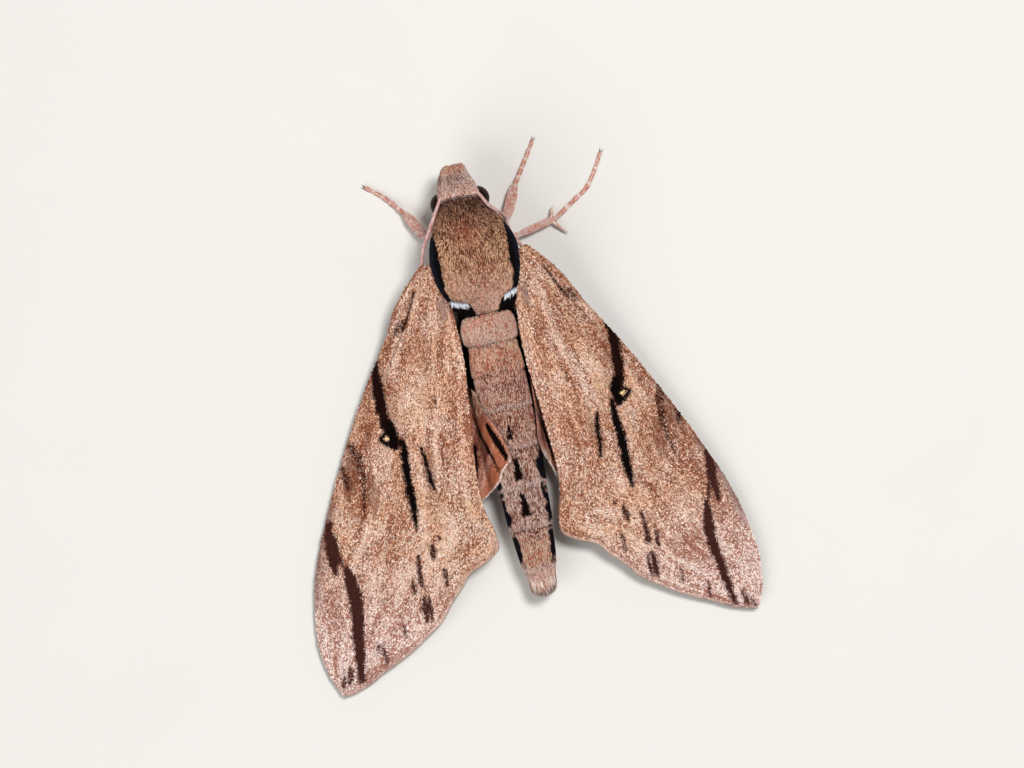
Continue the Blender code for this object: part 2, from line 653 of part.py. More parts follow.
def make_leg(name, leg):
    sign = -1 if name.endswith("left") else 1
    femur_radius, tibia_radius, foot_radius = LEG_RADII[name.split("_")[0]]
    station, angle = leg["hip"]
    middle = smooth(BODY_PROFILE, station, 4)
    start = Vector(body_point(station, angle, GAP + 0.25))
    out = Vector(body_point(station, angle, GAP + 1.0))
    for p in (start, out):
        p.x = middle + sign * (p.x - middle)
    knee = leg["knee"]
    ankle = leg["ankle"]
    knee_in = pull_back(knee, out, KNEE_ROOM)
    path = through([tuple(start), tuple(out), between(out, knee, 0.55), knee_in], 1.0)
    radii = radii_along(path, [0.8 * femur_radius, 1.1 * femur_radius, femur_radius, 0.5 * femur_radius])
    tube("femur_" + name, path, radii, "leg_scales")
    knee_out = pull_back(knee, ankle, KNEE_ROOM)
    ankle_in = pull_back(ankle, knee, ANKLE_ROOM)
    path = through([knee_out, between(knee_out, ankle_in, 0.5), ankle_in], 1.2)
    radii = radii_along(path, [0.5 * tibia_radius, tibia_radius, 1.05 * tibia_radius, 0.8 * tibia_radius])
    tibia = tube("tibia_" + name, path, radii, "leg_scales")
    if not name.startswith("fore"):
        add_spurs(tibia, knee, ankle, sign)
    route = [pull_back(ankle, leg["foot"][0], ANKLE_ROOM)] + leg["foot"]
    path = through(route, 1.3)
    radii = radii_along(path, [1.1 * foot_radius, foot_radius, foot_radius, 0.85 * foot_radius])
    tube("tarsus_" + name, path, radii, "leg_scales", floor=0.0)


def add_spurs(tibia, knee, ankle, sign):
    """A long and a short spur near the tibia's end, sunk into it and fused."""
    ahead = (Vector(ankle) - Vector(knee)).normalized()
    out = ahead.cross(Vector((0, 0, 1))).normalized()
    spurs = []
    for turn, length in ((1.0, SPUR_LENGTH), (-1.0, 0.65 * SPUR_LENGTH)):
        root = Vector(ankle) - ahead * 0.75
        tip = root + (ahead * 0.5 + out * turn * 0.85 + Vector((0, 0, -0.12))).normalized() * length
        path = through([tuple(root), between(root, tip, 0.5), tuple(tip)], 0.8)
        spurs.append(tube("spur", path, radii_along(path, [SPUR_RADIUS, SPUR_RADIUS, 0.1]), "leg_scales", sides=5))
    boolean(tibia, spurs, "UNION")


# Tufts

def add_lock(path, radius, flatten, across, material_name):
    """One flat, tapered lock of hair scales, widest near its middle."""
    radii = radii_along(path, [0.85 * radius, radius, 0.8 * radius, LOCK_TIP])
    return tube("lock", path, radii, material_name, sides=4, flatten=flatten, across=across)


def mirrored(point, sign, middle=0.0):
    x, y, z = point
    return middle + sign * (x - middle), y, z


def make_tufts():
    """White-tipped tufts: locks that rise from the thorax's rear shoulders and lean forward over it."""
    draw = random.Random(SEED)
    for side, sign in (("right", 1), ("left", -1)):
        places = [between(TUFT_START, TUFT_END, i / (TUFT_LOCKS - 1)) for i in range(TUFT_LOCKS)]
        base = [mirrored(body_point(station, angle, TUFT_ROOT), sign) for station, angle in places]
        bar = tube("tuft_" + side, base, [TUFT_BAR] * len(base), "black_tuft", sides=6)
        locks = []
        for station, angle in places:
            rise = TUFT_RISE * draw.uniform(0.85, 1.1)
            lean = TUFT_LEAN * draw.uniform(0.85, 1.1)
            route = [body_point(station + lean * u, angle, TUFT_ROOT + rise * math.sin(u * math.pi / 2))
                     for u in (0.0, 0.3, 0.6, 0.85, 1.0)]
            path = [mirrored(p, sign) for p in route]
            across = Vector(body_point(station, angle + 3.0)) - Vector(body_point(station, angle - 3.0))
            locks.append(add_lock(path, LOCK_RADIUS, 0.36, (sign * across.x, across.y, across.z), "black_tuft"))
        boolean(bar, locks, "UNION")


def make_tail():
    """The brush at the end of the abdomen: a short core and flat locks laid back round it."""
    draw = random.Random(SEED + 1)
    front = ABDOMEN_ENDS[-1] - GAP
    half_width, level, half_height, middle = body_size(front)
    core_end = front + TAIL_CORE * (TAIL_TIP - front)
    rings = []
    for y in np.linspace(front, core_end, 4):
        shrink = 1.0 - 0.45 * (front - y) / (front - core_end)
        rings.append([(middle + half_width * shrink * math.cos(a), y, level + half_height * shrink * math.sin(a))
                      for a in np.linspace(0, 2 * math.pi, 17)[:-1]])
    core = loft("tail_tuft", rings, "abdomen_hair")
    locks = []
    for i in range(TAIL_LOCKS):
        turn = 2 * math.pi * (i + 0.5) / TAIL_LOCKS
        c = math.cos(turn)
        s = math.sin(turn)
        reach = draw.uniform(0.9, 1.0)
        route = []
        for u, wide in ((0.0, 0.72), (0.3, 0.84), (0.65, 0.82), (1.0, 0.62)):
            y = front - 0.25 + u * reach * (TAIL_TIP - front + 0.25)
            high = wide * (1.0 - 0.45 * u)
            route.append((middle + half_width * wide * c, y, level - 0.3 * u + half_height * high * s))
        locks.append(add_lock(through(route, 1.2), TAIL_LOCK_RADIUS, 0.34, (-s, 0.0, c), "abdomen_hair"))
    boolean(core, locks, "UNION")


def stand_on_floor():
    """Move everything so that the box's bottom centre is the origin."""
    bpy.context.view_layer.update()
    solids = [item for item in bpy.data.objects if item.type == "MESH"]
    corners = np.array([item.matrix_world @ v.co for item in solids for v in item.data.vertices])
    low = corners.min(axis=0)
    high = corners.max(axis=0)
    base = bpy.data.objects.new("moth", None)
    bpy.context.scene.collection.objects.link(base)
    base.location = (-(low[0] + high[0]) / 2, -(low[1] + high[1]) / 2, -low[2])
    for item in solids:
        item.parent = base


def main():
    clear_scene()
    make_body()
    make_palps()
    make_tongue()
    make_antennae()
    for side, sign in (("right", 1), ("left", -1)):
        make_forewing(side, sign)
        make_hindwing(side, sign)
    for name, leg in LEGS.items():
        make_leg(name, leg)
    make_tufts()
    make_tail()
    stand_on_floor()


main()
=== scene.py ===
# A large hawkmoth at rest, life size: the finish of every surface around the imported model.
# Shapes are worked out in millimetres in the moth's own frame: +Y to the head, +X to its right,
# y = 0 at the wing hinges. They turn into the frame's metres where a mesh is made.
import math

import bmesh
import bpy
import numpy as np
from mathutils import Matrix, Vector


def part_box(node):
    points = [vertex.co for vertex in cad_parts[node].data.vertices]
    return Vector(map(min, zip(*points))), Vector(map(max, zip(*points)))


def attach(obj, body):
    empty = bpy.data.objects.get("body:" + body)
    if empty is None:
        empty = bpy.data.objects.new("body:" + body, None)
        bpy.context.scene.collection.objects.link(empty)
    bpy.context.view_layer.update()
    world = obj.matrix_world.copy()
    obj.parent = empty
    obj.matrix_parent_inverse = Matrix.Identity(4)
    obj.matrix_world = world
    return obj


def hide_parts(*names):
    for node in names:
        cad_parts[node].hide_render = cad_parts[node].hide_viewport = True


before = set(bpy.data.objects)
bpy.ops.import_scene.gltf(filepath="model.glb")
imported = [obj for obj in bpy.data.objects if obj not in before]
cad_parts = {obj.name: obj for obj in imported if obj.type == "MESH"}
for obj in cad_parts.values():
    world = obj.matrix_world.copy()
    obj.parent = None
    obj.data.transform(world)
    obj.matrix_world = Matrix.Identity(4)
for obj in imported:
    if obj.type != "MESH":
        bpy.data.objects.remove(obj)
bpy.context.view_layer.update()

mm = 0.001
thoraxBack = -8.35  # station of the thorax's rear end, as the solids have it
thoraxLow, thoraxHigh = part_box("thorax")
origin = np.array([(thoraxLow.x + thoraxHigh.x) / 2 / mm, thoraxLow.y / mm - thoraxBack, 0])
sides = {"right": 1, "left": -1}
print("frame loaded, moth origin at", [round(float(c), 3) for c in origin], "mm")


# Numbers, curves and noise

def linear(hexColour):  # sRGB hex to linear
    channels = [int(hexColour[i:i + 2], 16) / 255 for i in (1, 3, 5)]
    return np.array([c / 12.92 if c <= 0.04045 else ((c + 0.055) / 1.055) ** 2.4 for c in channels])


def mixed(base, colour, share):  # colours as hex or as arrays, one share for each point
    base, colour = (linear(c) if isinstance(c, str) else c for c in (base, colour))
    return base + (colour - base) * np.clip(share, 0, 1)[..., None]


def washed(colour, tones, layers):  # lays one named tone after another over a colour
    for tone, share in layers:
        colour = mixed(colour, tones[tone], share)
    return colour


def speckle(shadow, light, grain):  # one scale's colour between a dark and a light one
    return mixed(shadow, light, ramp(grain, 0.3, 0.7))


def ramp(x, low, high):
    u = np.clip((x - low) / (high - low), 0, 1)
    return u * u * (3 - 2 * u)


def bump(x, centre, reach):
    return np.exp(-((x - centre) / reach) ** 2)


def curve(table, at, column=1):  # smooth curve through a table's column
    rows = np.array(table, float)
    rows = rows[np.argsort(rows[:, 0])]
    xs = rows[:, 0]
    ys = rows[:, column]
    slopes = np.gradient(ys, xs)
    at = np.asarray(at, float)
    i = np.clip(np.searchsorted(xs, at) - 1, 0, len(xs) - 2)
    width = xs[i + 1] - xs[i]
    u = np.clip((at - xs[i]) / width, 0, 1)
    rise = (2 * u**3 - 3 * u**2 + 1) * ys[i] + (-2 * u**3 + 3 * u**2) * ys[i + 1]
    turn = (u**3 - 2 * u**2 + u) * slopes[i] + (u**3 - u**2) * slopes[i + 1]
    return rise + width * turn


def through(points, count):  # evenly spaced points on the curve through a few
    pts = np.array(points, float)
    lengths = np.r_[0, np.cumsum(np.linalg.norm(np.diff(pts, axis=0), axis=1))]
    table = np.column_stack([lengths, pts])
    places = np.linspace(0, lengths[-1], count)
    return np.column_stack([curve(table, places, k + 1) for k in range(pts.shape[1])])


def unit(vectors):
    return vectors / np.maximum(np.linalg.norm(vectors, axis=-1, keepdims=True), 1e-12)


def hashed(i, j, seed):
    h = (i * 374761393 + j * 668265263 + seed * 974634777) & 0xffffffff
    h = ((h ^ (h >> 13)) * 1274126177) & 0xffffffff
    return ((h ^ (h >> 16)) & 0xffff) / 65535


def noise(x, y, seed):  # smooth value noise, 0 to 1, one lump per unit
    i = np.floor(x).astype(np.int64)
    j = np.floor(y).astype(np.int64)
    u = x - i
    v = y - j
    u = u * u * (3 - 2 * u)
    v = v * v * (3 - 2 * v)
    low = hashed(i, j, seed) * (1 - u) + hashed(i + 1, j, seed) * u
    high = hashed(i, j + 1, seed) * (1 - u) + hashed(i + 1, j + 1, seed) * u
    return low * (1 - v) + high * v


def layered(x, y, seed):  # three sizes of the same noise
    return (noise(x, y, seed) + 0.5 * noise(2.1 * x, 2.1 * y, seed + 7)
            + 0.25 * noise(4.3 * x, 4.3 * y, seed + 13)) / 1.75


def nearestOn(line, s, t):  # distance to a drawn line, and where on it
    best = np.full(np.shape(s), 1e9)
    at = np.zeros(np.shape(s))
    for k in range(len(line) - 1):
        start = line[k, :2]
        step = line[k + 1, :2] - start
        u = np.clip(((s - start[0]) * step[0] + (t - start[1]) * step[1]) / (step @ step), 0, 1)
        far = np.hypot(s - start[0] - u * step[0], t - start[1] - u * step[1])
        closer = far < best
        best = np.where(closer, far, best)
        at = np.where(closer, k + u, at)
    return best, at


# Meshes

triangleCount = {}


def inScene(name, data):
    made = bpy.data.objects.new(name, data)
    bpy.context.scene.collection.objects.link(made)
    return made


def addPiece(name, mesh, material, nodes):  # every piece of the finish comes into the scene here
    mesh.materials.append(material)
    made = inScene(name, mesh)
    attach(made, "root")
    if nodes:
        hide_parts(*nodes)
    triangleCount[name] = len(mesh.polygons)


def addMesh(name, points, faces, paint, material, nodes=(), sign=1, tip=None, uv=None, smooth=True):
    points = points * np.array([sign, 1, 1])
    if sign < 0:
        faces = faces[:, ::-1]
    mesh = bpy.data.meshes.new(name)
    mesh.vertices.add(len(points))
    mesh.vertices.foreach_set("co", ((points + origin) * mm).astype(np.float32).ravel())
    mesh.loops.add(faces.size)
    mesh.loops.foreach_set("vertex_index", faces.astype(np.int32).ravel())
    mesh.polygons.add(len(faces))
    mesh.polygons.foreach_set("loop_start", np.arange(0, faces.size, 3, dtype=np.int32))
    mesh.update(calc_edges=True)
    rgba = np.column_stack([paint, np.ones(len(paint))]).astype(np.float32)
    mesh.attributes.new("paint", "FLOAT_COLOR", "POINT").data.foreach_set("color", rgba.ravel())
    if tip is not None:
        mesh.attributes.new("tip", "FLOAT", "POINT").data.foreach_set("value", tip.astype(np.float32))
    if uv is not None:
        layer = mesh.uv_layers.new(name="OFBake")
        layer.data.foreach_set("uv", uv[faces.ravel()].astype(np.float32).ravel())
    mesh.polygons.foreach_set("use_smooth", np.full(len(faces), smooth))
    mesh.update()
    addPiece(name, mesh, material, nodes)


def gridFaces(rows, cols):  # two triangles for each cell of a grid
    i, j = np.meshgrid(np.arange(rows - 1), np.arange(cols - 1), indexing="ij")
    a = (i * cols + j).ravel()
    return np.concatenate([np.column_stack([a, a + cols, a + cols + 1]),
                           np.column_stack([a, a + cols + 1, a + 1])])


def shellFaces(rows, cols):  # an upper and a lower grid, closed along the rim
    top = gridFaces(rows, cols)
    count = rows * cols
    rim = np.r_[np.arange(cols), np.arange(1, rows) * cols + cols - 1,
                (rows - 1) * cols + np.arange(cols - 2, -1, -1), np.arange(rows - 2, 0, -1) * cols]
    after = np.roll(rim, -1)
    return np.concatenate([top, top[:, ::-1] + count, np.column_stack([rim, after + count, rim + count]),
                           np.column_stack([rim, after, after + count])])


def tubeFaces(rings, around):  # rings joined round, with a fan at each end
    i, k = np.meshgrid(np.arange(rings - 1), np.arange(around), indexing="ij")
    a = (i * around + k).ravel()
    b = (i * around + (k + 1) % around).ravel()
    k = np.arange(around)
    last = (rings - 1) * around
    count = rings * around
    return np.concatenate([np.column_stack([a, b, b + around]), np.column_stack([a, b + around, a + around]),
                           np.column_stack([np.full(around, count), (k + 1) % around, k]),
                           np.column_stack([np.full(around, count + 1), last + k, last + (k + 1) % around])])


def makeSheet(points, params, outward):  # a grid with its normals, directions and own coordinates
    along, across = np.gradient(points, axis=0), np.gradient(points, axis=1)
    if np.allclose(points[:, 0], points[:, -1]):
        across[:, 0] = across[:, -1] = (points[:, 1] - points[:, -2]) / 2
    normal = unit(np.cross(along, across)) * outward
    return {"points": points, "params": params, "up": normal, "along": unit(along)}


def scatter(sheet, count, draw, weight=None):  # spots spread evenly over a sheet's area
    points = sheet["points"]
    rows, cols = points.shape[:2]
    area = np.linalg.norm(np.cross(points[1:, :-1] - points[:-1, :-1], points[:-1, 1:] - points[:-1, :-1]), axis=2)
    if weight is not None:
        area = area * weight[:-1, :-1]
    steps = np.cumsum(area.ravel())
    picks = (np.arange(count) + draw.random(count)) / count * steps[-1]
    i, j = np.divmod(np.searchsorted(steps, picks).clip(max=len(steps) - 1), cols - 1)
    u = draw.random(count)[:, None]
    v = draw.random(count)[:, None]

    def between(values):
        low = values[i, j] * (1 - v) + values[i, j + 1] * v
        high = values[i + 1, j] * (1 - v) + values[i + 1, j + 1] * v
        return low * (1 - u) + high * u

    return {"root": between(points), "up": unit(between(sheet["up"])), "lie": unit(between(sheet["along"])),
            "params": between(sheet["params"]),
            "place": np.column_stack([(i + u[:, 0]) / (rows - 1), (j + v[:, 0]) / (cols - 1)])}


def lifted(colour, gain):  # brighter, with its hue kept
    room = 0.9 / np.maximum(colour.max(axis=1), 0.05)
    return colour * np.minimum(gain, room)[:, None]


def solid(colour, count):
    return np.tile(linear(colour), (count, 1))


def chosen(spots, keep):
    return {key: values[keep] for key, values in spots.items()}


def turned(spots, degrees):  # swing each spot's lie about its normal
    angle = np.radians(degrees)[:, None]
    lie = unit(spots["lie"] - spots["up"] * np.sum(spots["lie"] * spots["up"], axis=1)[:, None])
    across = np.cross(lie, spots["up"])
    spots["lie"] = lie * np.cos(angle) + across * np.sin(angle)
    return spots


# One scale or lock of hair: corners as shares of its length, width and thickness, then its faces
lockKinds = {
    "flake": ([(-0.05, 0, -0.5), (0.66, -0.5, 0), (0.66, 0.5, 0), (0.5, 0, -1), (1, 0, 0)],
              [(0, 2, 1), (1, 2, 4), (0, 3, 2), (2, 3, 4), (4, 3, 1), (1, 3, 0)]),
    "lock": ([(-0.05, 0, -0.3), (0.4, -0.5, 0), (0.4, 0.5, 0), (0.42, 0, 1), (1, 0, 0)],
             [(0, 1, 2), (1, 4, 2), (0, 2, 3), (2, 4, 3), (4, 1, 3), (1, 0, 3)]),
    "longLock": ([(-0.04, 0, -0.3), (0.28, -0.5, 0), (0.28, 0.5, 0), (0.3, 0, 1),
                  (0.7, -0.42, 0), (0.7, 0.42, 0), (0.7, 0, 0.85), (1, 0, 0)],
                 [(0, 1, 2), (1, 4, 5), (1, 5, 2), (4, 7, 5), (0, 2, 3), (1, 0, 3), (2, 5, 6), (2, 6, 3),
                  (1, 3, 6), (1, 6, 4), (5, 7, 6), (7, 4, 6)]),
}
patchSize = 0.003  # each lock's patch on the bake map


def addLocks(name, spots, size, rootPaint, tipPaint, material, kind="lock", sign=1, nodes=(), sag=0,
             smooth=True):
    corners, faces = (np.array(part) for part in lockKinds[kind])
    many = len(spots["root"])
    length, width, thick, rise = (np.broadcast_to(np.asarray(v, float), many)[:, None, None] for v in size)
    a, b, c = (corners[None, :, k, None] for k in range(3))
    root, lie, up = (spots[key][:, None] for key in ("root", "lie", "up"))
    lift = rise * (2 * a - a * a) + thick * c
    points = root + lie * length * a + np.cross(lie, up) * width * b + up * lift
    points[:, :, 2] -= sag * (np.clip(a, 0, 1) ** 2)[:, :, 0]
    allFaces = (faces[None] + (np.arange(many) * len(corners))[:, None, None]).reshape(-1, 3)
    share = np.clip(a, 0, 1)
    paint = rootPaint[:, None] * (1 - share) + tipPaint[:, None] * share
    patch = patchSize * np.column_stack([corners[:, 0] - 0.5, corners[:, 1]])
    uv = spots["place"][:, None] * (1 - 2 * patchSize) + patchSize + patch[None]
    tip = np.broadcast_to(share, (many, len(corners), 1))
    addMesh(name, points.reshape(-1, 3), allFaces, paint.reshape(-1, 3), material, nodes, sign, tip.ravel(),
            uv.reshape(-1, 2), smooth)


# Materials

def addNode(tree, kind, settings=None, links=None):
    node = tree.nodes.new("ShaderNode" + kind)
    for key, value in (settings or {}).items():
        if isinstance(key, int) or key in node.inputs:
            node.inputs[key].default_value = value
        else:
            setattr(node, key, value)
    for socket, source in (links or {}).items():
        tree.links.new(source, node.inputs[socket])
    return node


def newMaterial(name, gloss):
    made = bpy.data.materials.new(name)
    made.use_nodes = True
    shader = made.node_tree.nodes["Principled BSDF"]
    for socket, value in gloss.items():
        shader.inputs[socket].default_value = value
    return made, made.node_tree, shader


def grainNode(tree, grainSize, detail=3):
    place = addNode(tree, "TexCoord")
    return addNode(tree, "TexNoise", {"Scale": 1 / (grainSize * mm), "Detail": detail, "Roughness": 0.6},
                   {"Vector": place.outputs["Object"]})


def scaleMaterial(name, look):
    sheen = {"Sheen Weight": look.get("sheen", 0), "Sheen Roughness": 0.4, "Sheen Tint": (*linear("#F0DCD0"), 1)}
    made, tree, shader = newMaterial(name, {"IOR": 1.56, **sheen})
    paint = addNode(tree, "Attribute", {"attribute_name": "paint"})
    grain = grainNode(tree, look["grain"])
    lightness = addNode(tree, "MapRange", {"From Min": 0.3, "From Max": 0.7, "To Min": 1 - look["contrast"],
                                           "To Max": 1 + look["contrast"]}, {"Value": grain.outputs["Fac"]})
    # painted shade: each scale or lock darker towards its root, where its neighbours cover it
    if "rootShade" in look:
        tip = addNode(tree, "Attribute", {"attribute_name": "tip"})
        shade = addNode(tree, "MapRange", {"From Min": 0, "From Max": 0.7, "To Min": look["rootShade"],
                                           "To Max": 1}, {"Value": tip.outputs["Fac"]})
        lightness = addNode(tree, "Math", {"operation": "MULTIPLY"},
                            {0: lightness.outputs[0], 1: shade.outputs[0]})
    toned = addNode(tree, "HueSaturation", {}, {"Value": lightness.outputs[0], "Color": paint.outputs["Color"]})
    gloss = addNode(tree, "MapRange", {"To Min": look["rough"] - 0.1, "To Max": look["rough"] + 0.1},
                    {"Value": grain.outputs["Fac"]})
    # melanin-black scales swallow nearly all light, so the gloss follows the paint's brightness
    bright = addNode(tree, "RGBToBW", {}, {"Color": paint.outputs["Color"]})
    gleam = addNode(tree, "MapRange", {"From Min": 0, "From Max": 0.12, "To Min": 0.02, "To Max": look["gleam"]},
                    {"Value": bright.outputs[0]})
    relief = addNode(tree, "Bump", {"Strength": look["relief"], "Distance": look["grain"] * mm},
                     {"Height": grain.outputs["Fac"]})
    for node, socket in (toned, "Base Color"), (gloss, "Roughness"), (gleam, "Specular IOR Level"), (relief, "Normal"):
        tree.links.new(node.outputs[0], shader.inputs[socket])
    return made


# Wing and hair scales are chitin, ridged along their length: matt, with a soft silky gleam
wingScale = scaleMaterial("wing_scale_chitin", {
    "grain": 0.1, "contrast": 0.18, "relief": 0.35, "rough": 0.62, "gleam": 0.18, "rootShade": 0.8})
# The membrane under them shows only between scales: a slightly glossier chitin, painted darker as shade under the
# scales
wingMembrane = scaleMaterial("wing_membrane_chitin", {
    "grain": 0.14, "contrast": 0.3, "relief": 0.55, "rough": 0.55, "gleam": 0.25})
# Long hair scales of the body: painted shade darkens them at the root, so the coat reads as deep
hairScale = scaleMaterial("hair_scale_chitin", {
    "grain": 0.16, "contrast": 0.15, "relief": 0.2, "rough": 0.6, "gleam": 0.2, "rootShade": 0.82})
# The skin under the coat, in the coat's own colours, darkened as painted shade under the coat
coatSkin = scaleMaterial("cuticle_under_coat", {
    "grain": 0.18, "contrast": 0.35, "relief": 0.8, "rough": 0.7, "gleam": 0.2})
# Legs, antennae and tongue are bare or short-scaled cuticle: harder, with a low satin shine
satinCuticle = scaleMaterial("satin_cuticle", {
    "grain": 0.12, "contrast": 0.22, "relief": 0.4, "rough": 0.45, "gleam": 0.5, "sheen": 0.05})


def eyeMaterial():  # compound eye: dark, glossy, finely faceted
    made, tree, shader = newMaterial("compound_eye_cornea", {
        "IOR": 1.5, "Coat Weight": 0.06, "Coat Roughness": 0.06, "Roughness": 0.4, "Specular IOR Level": 0.08})
    place = addNode(tree, "TexCoord")
    # real facets are 0.025 mm wide; they are drawn at 0.09 mm so that they show
    facets = addNode(tree, "TexVoronoi", {"Scale": 1 / (0.09 * mm)}, {"Vector": place.outputs["Object"]})
    tone = addNode(tree, "ValToRGB", {}, {"Fac": grainNode(tree, 0.9, 1).outputs["Fac"]})
    for stop, position, colour in zip(tone.color_ramp.elements, (0.35, 0.7), ("#120808", "#331712")):
        stop.position = position
        stop.color = (*linear(colour), 1)
    tree.links.new(tone.outputs["Color"], shader.inputs["Base Color"])
    relief = addNode(tree, "Bump", {"Strength": 0.25, "Distance": 0.03 * mm, "invert": True},
                     {"Height": facets.outputs["Distance"]})
    tree.links.new(relief.outputs["Normal"], shader.inputs["Normal"])
    return made


# Body: one skin from the front of the head to the tip of the abdomen
body = {
    "profile": [  # station, half width, top, bottom, sideways shift
        (11.1, 1.2, 8.4, 6.4, -0.44), (10.9, 1.42, 8.9, 5.9, -0.48), (10.4, 1.66, 9.4, 5.3, -0.56),
        (9.7, 1.95, 9.9, 5, -0.6), (8.8, 2.3, 10.7, 4.7, -0.56), (7.8, 2.72, 11.4, 4.3, -0.48),
        (6.6, 2.95, 11.8, 4, -0.42), (5.4, 3.55, 12.3, 3.7, -0.34), (3.9, 4.4, 12.9, 3.3, -0.2),
        (2.4, 5.35, 13.4, 3, -0.1), (0.3, 6.1, 13.8, 2.8, 0), (-1.5, 6.25, 13.9, 2.7, 0),
        (-3.5, 6.05, 13.7, 2.7, 0), (-5.5, 5.45, 13.1, 2.9, 0), (-7, 4.5, 12.2, 3.2, 0),
        (-7.9, 3.45, 11.5, 3.6, 0), (-8.4, 2.6, 11.1, 4, 0),
        (-8.8, 3.1, 11.1, 3.8, 0), (-9.6, 3.62, 11.3, 3.4, -0.04), (-10.8, 3.85, 11.5, 3, -0.08),
        (-12, 3.7, 11.3, 2.9, -0.04), (-12.8, 3.45, 11, 2.9, 0.03), (-14.5, 3.55, 11, 2.8, 0.05),
        (-20, 3.6, 10.4, 2.4, 0.1), (-26, 3.6, 9.6, 2.1, 0.15), (-32, 3.35, 8.7, 1.9, 0.2),
        (-38, 2.95, 7.7, 1.7, 0.25), (-42, 2.5, 6.8, 1.7, 0.3), (-45, 1.85, 6, 1.9, 0.3)],
    "squareness": 2.35,
    "segmentEnds": [-8.55, -12.35, -16.55, -21.45, -26.75, -32.15, -37.55, -43.1],
    "crease": 6.9,  # where the collar meets the head
    "coatDepth": [(-11.5, 0.16), (-7, 0.22), (-4, 0.3), (0, 0.35), (7, 0.35), (9, 0.2),
                  (30, 0.2), (45, 0.25)],  # by distance behind the wing hinges
    "seed": 5,
}
dorsum = {  # the golden back of the thorax
    "edge": [(7.4, 2.4), (6.9, 2.7), (5.4, 3.5), (3.6, 4.6), (1, 4.85), (-2, 4.8), (-5, 4.75),
             (-5.9, 4.3), (-6.6, 3.6), (-7.3, 2.9), (-8.3, 2.35), (-9, 2.2)],
    "bandFront": 3.3,  # station where the black side bands begin
    # the rows grow lighter towards the rear: partly the hair's own colour, partly painted light on the rear slope,
    # which faces away from the key lamp
    "rows": [(7.2, "#1C0C07", "#7E5A48"), (5.2, "#1E0D08", "#86604C"), (3.6, "#34170C", "#B0826A"),
             (1, "#5C2E1C", "#E2B48E"), (-2, "#6A3522", "#EABC98"), (-5, "#A46450", "#F6CEB4"),
             (-8.3, "#C0826A", "#FCDAC8")],  # station, shadow and light colours
    "goldEdge": "#F0CC9C",
    "rust": "#7E4230", "black": "#0D090A", "blueSheen": "#3A4256",
}
headTone = {
    "light": "#FFE0D2", "shade": "#A2644E", "dark": "#5A2A1A", "front": "#AA6248", "frontLight": "#FED6BE",
    "rim": "#FAE6DA", "mauve": "#C090A0",
}
abdomenTone = {  # station, shadow and light colours down the back
    "rows": [(-8, "#D08C72", "#FFE2CE"), (-12.2, "#D08C74", "#FFE4D4"), (-13, "#AE664A", "#F6D0B4"),
             (-15.6, "#A85E42", "#F6D0B6"), (-17.6, "#7C4234", "#E2B8A8"), (-21, "#80442F", "#EAC0AC"),
             (-26.6, "#7A402F", "#F4CCB8"), (-32, "#7E4638", "#F8DACA"), (-37.4, "#7A4434", "#F6D6C6"),
             (-41, "#A25C40", "#FAD6BA"), (-47, "#8E4A34", "#FAE0D2")],
    # the dark of the dashes on the back, also laid on as painted shadow where the thorax meets the abdomen
    "dashAndShade": "#140807", "edge": "#EAD2CE", "side": "#141015", "belly": "#B48674",
    "dashes": [(-24.5, 1, 0.32), (-29.4, 1.7, 0.52), (-34.2, 1.75, 0.6)],  # station, half length, half width
}


def bodySize(y):
    halfWidth = curve(body["profile"], y, 1)
    top = curve(body["profile"], y, 2)
    bottom = curve(body["profile"], y, 3)
    return halfWidth, (top + bottom) / 2, (top - bottom) / 2, curve(body["profile"], y, 4)


def bodyPoint(y, degrees, grow=0):  # 0 degrees is the right flank, 90 the back
    halfWidth, level, halfHeight, middle = bodySize(y)
    c = np.cos(np.radians(degrees))
    s = np.sin(np.radians(degrees))
    power = 2 / body["squareness"]
    x = np.sign(c) * np.abs(c) ** power
    z = np.sign(s) * np.abs(s) ** power
    y = y + np.zeros_like(x)
    return np.stack([middle + x * (halfWidth + grow), y, level + z * (halfHeight + grow)], axis=-1)


def segmentShare(y):  # 0 to 1 along each ring of the abdomen
    ends = np.array(body["segmentEnds"])
    i = np.clip(np.searchsorted(-ends, -y) - 1, 0, len(ends) - 2)
    return np.clip((ends[i] - y) / (ends[i] - ends[i + 1]), 0, 1)


def creaseAt(degrees):  # the head's rear line bows forward on top
    return body["crease"] - 0.5 * np.cos(np.radians(degrees)) ** 2


def skinGrow(y, degrees):
    grow = -np.interp(-y, *zip(*body["coatDepth"]))
    grow = grow - 0.15 * bump(y, creaseAt(degrees), 0.3)
    onAbdomen = ramp(-y, 8.6, 9.2)
    share = segmentShare(y)
    step = 0.14 * share ** 1.5 - 0.1 - 0.06 * bump(share, 1, 0.05) - 0.05 * bump(share, 0, 0.06)
    grow = grow + onAbdomen * step - 0.16 * bump(y, body["segmentEnds"][1], 0.25) - 0.2 * bump(y, -8.5, 0.25)
    x = np.abs(bodyPoint(y, degrees)[..., 0])
    edge = curve(dorsum["edge"], y)
    onBand = ramp(x, edge - 0.15, edge + 0.15) * ramp(-y, -dorsum["bandFront"] - 0.4, -dorsum["bandFront"] + 0.4)
    return grow - 0.18 * onBand * (1 - onAbdomen)


def bodySheet():
    ys = np.r_[np.linspace(11.05, -8.3, 100), np.linspace(-8.5, -44.6, 170)]
    degrees = np.linspace(0, 360, 113)
    y, turn = np.meshgrid(ys, degrees, indexing="ij")
    grow = skinGrow(y, turn)
    return makeSheet(bodyPoint(y, turn, grow), np.stack([y, turn], axis=-1), -1)


def rowColours(rows, y):  # shadow and light colours between the rows' stations
    at = [-row[0] for row in rows]
    return [np.column_stack([np.interp(-y, at, [linear(row[k])[c] for row in rows]) for c in range(3)])
            for k in (1, 2)]


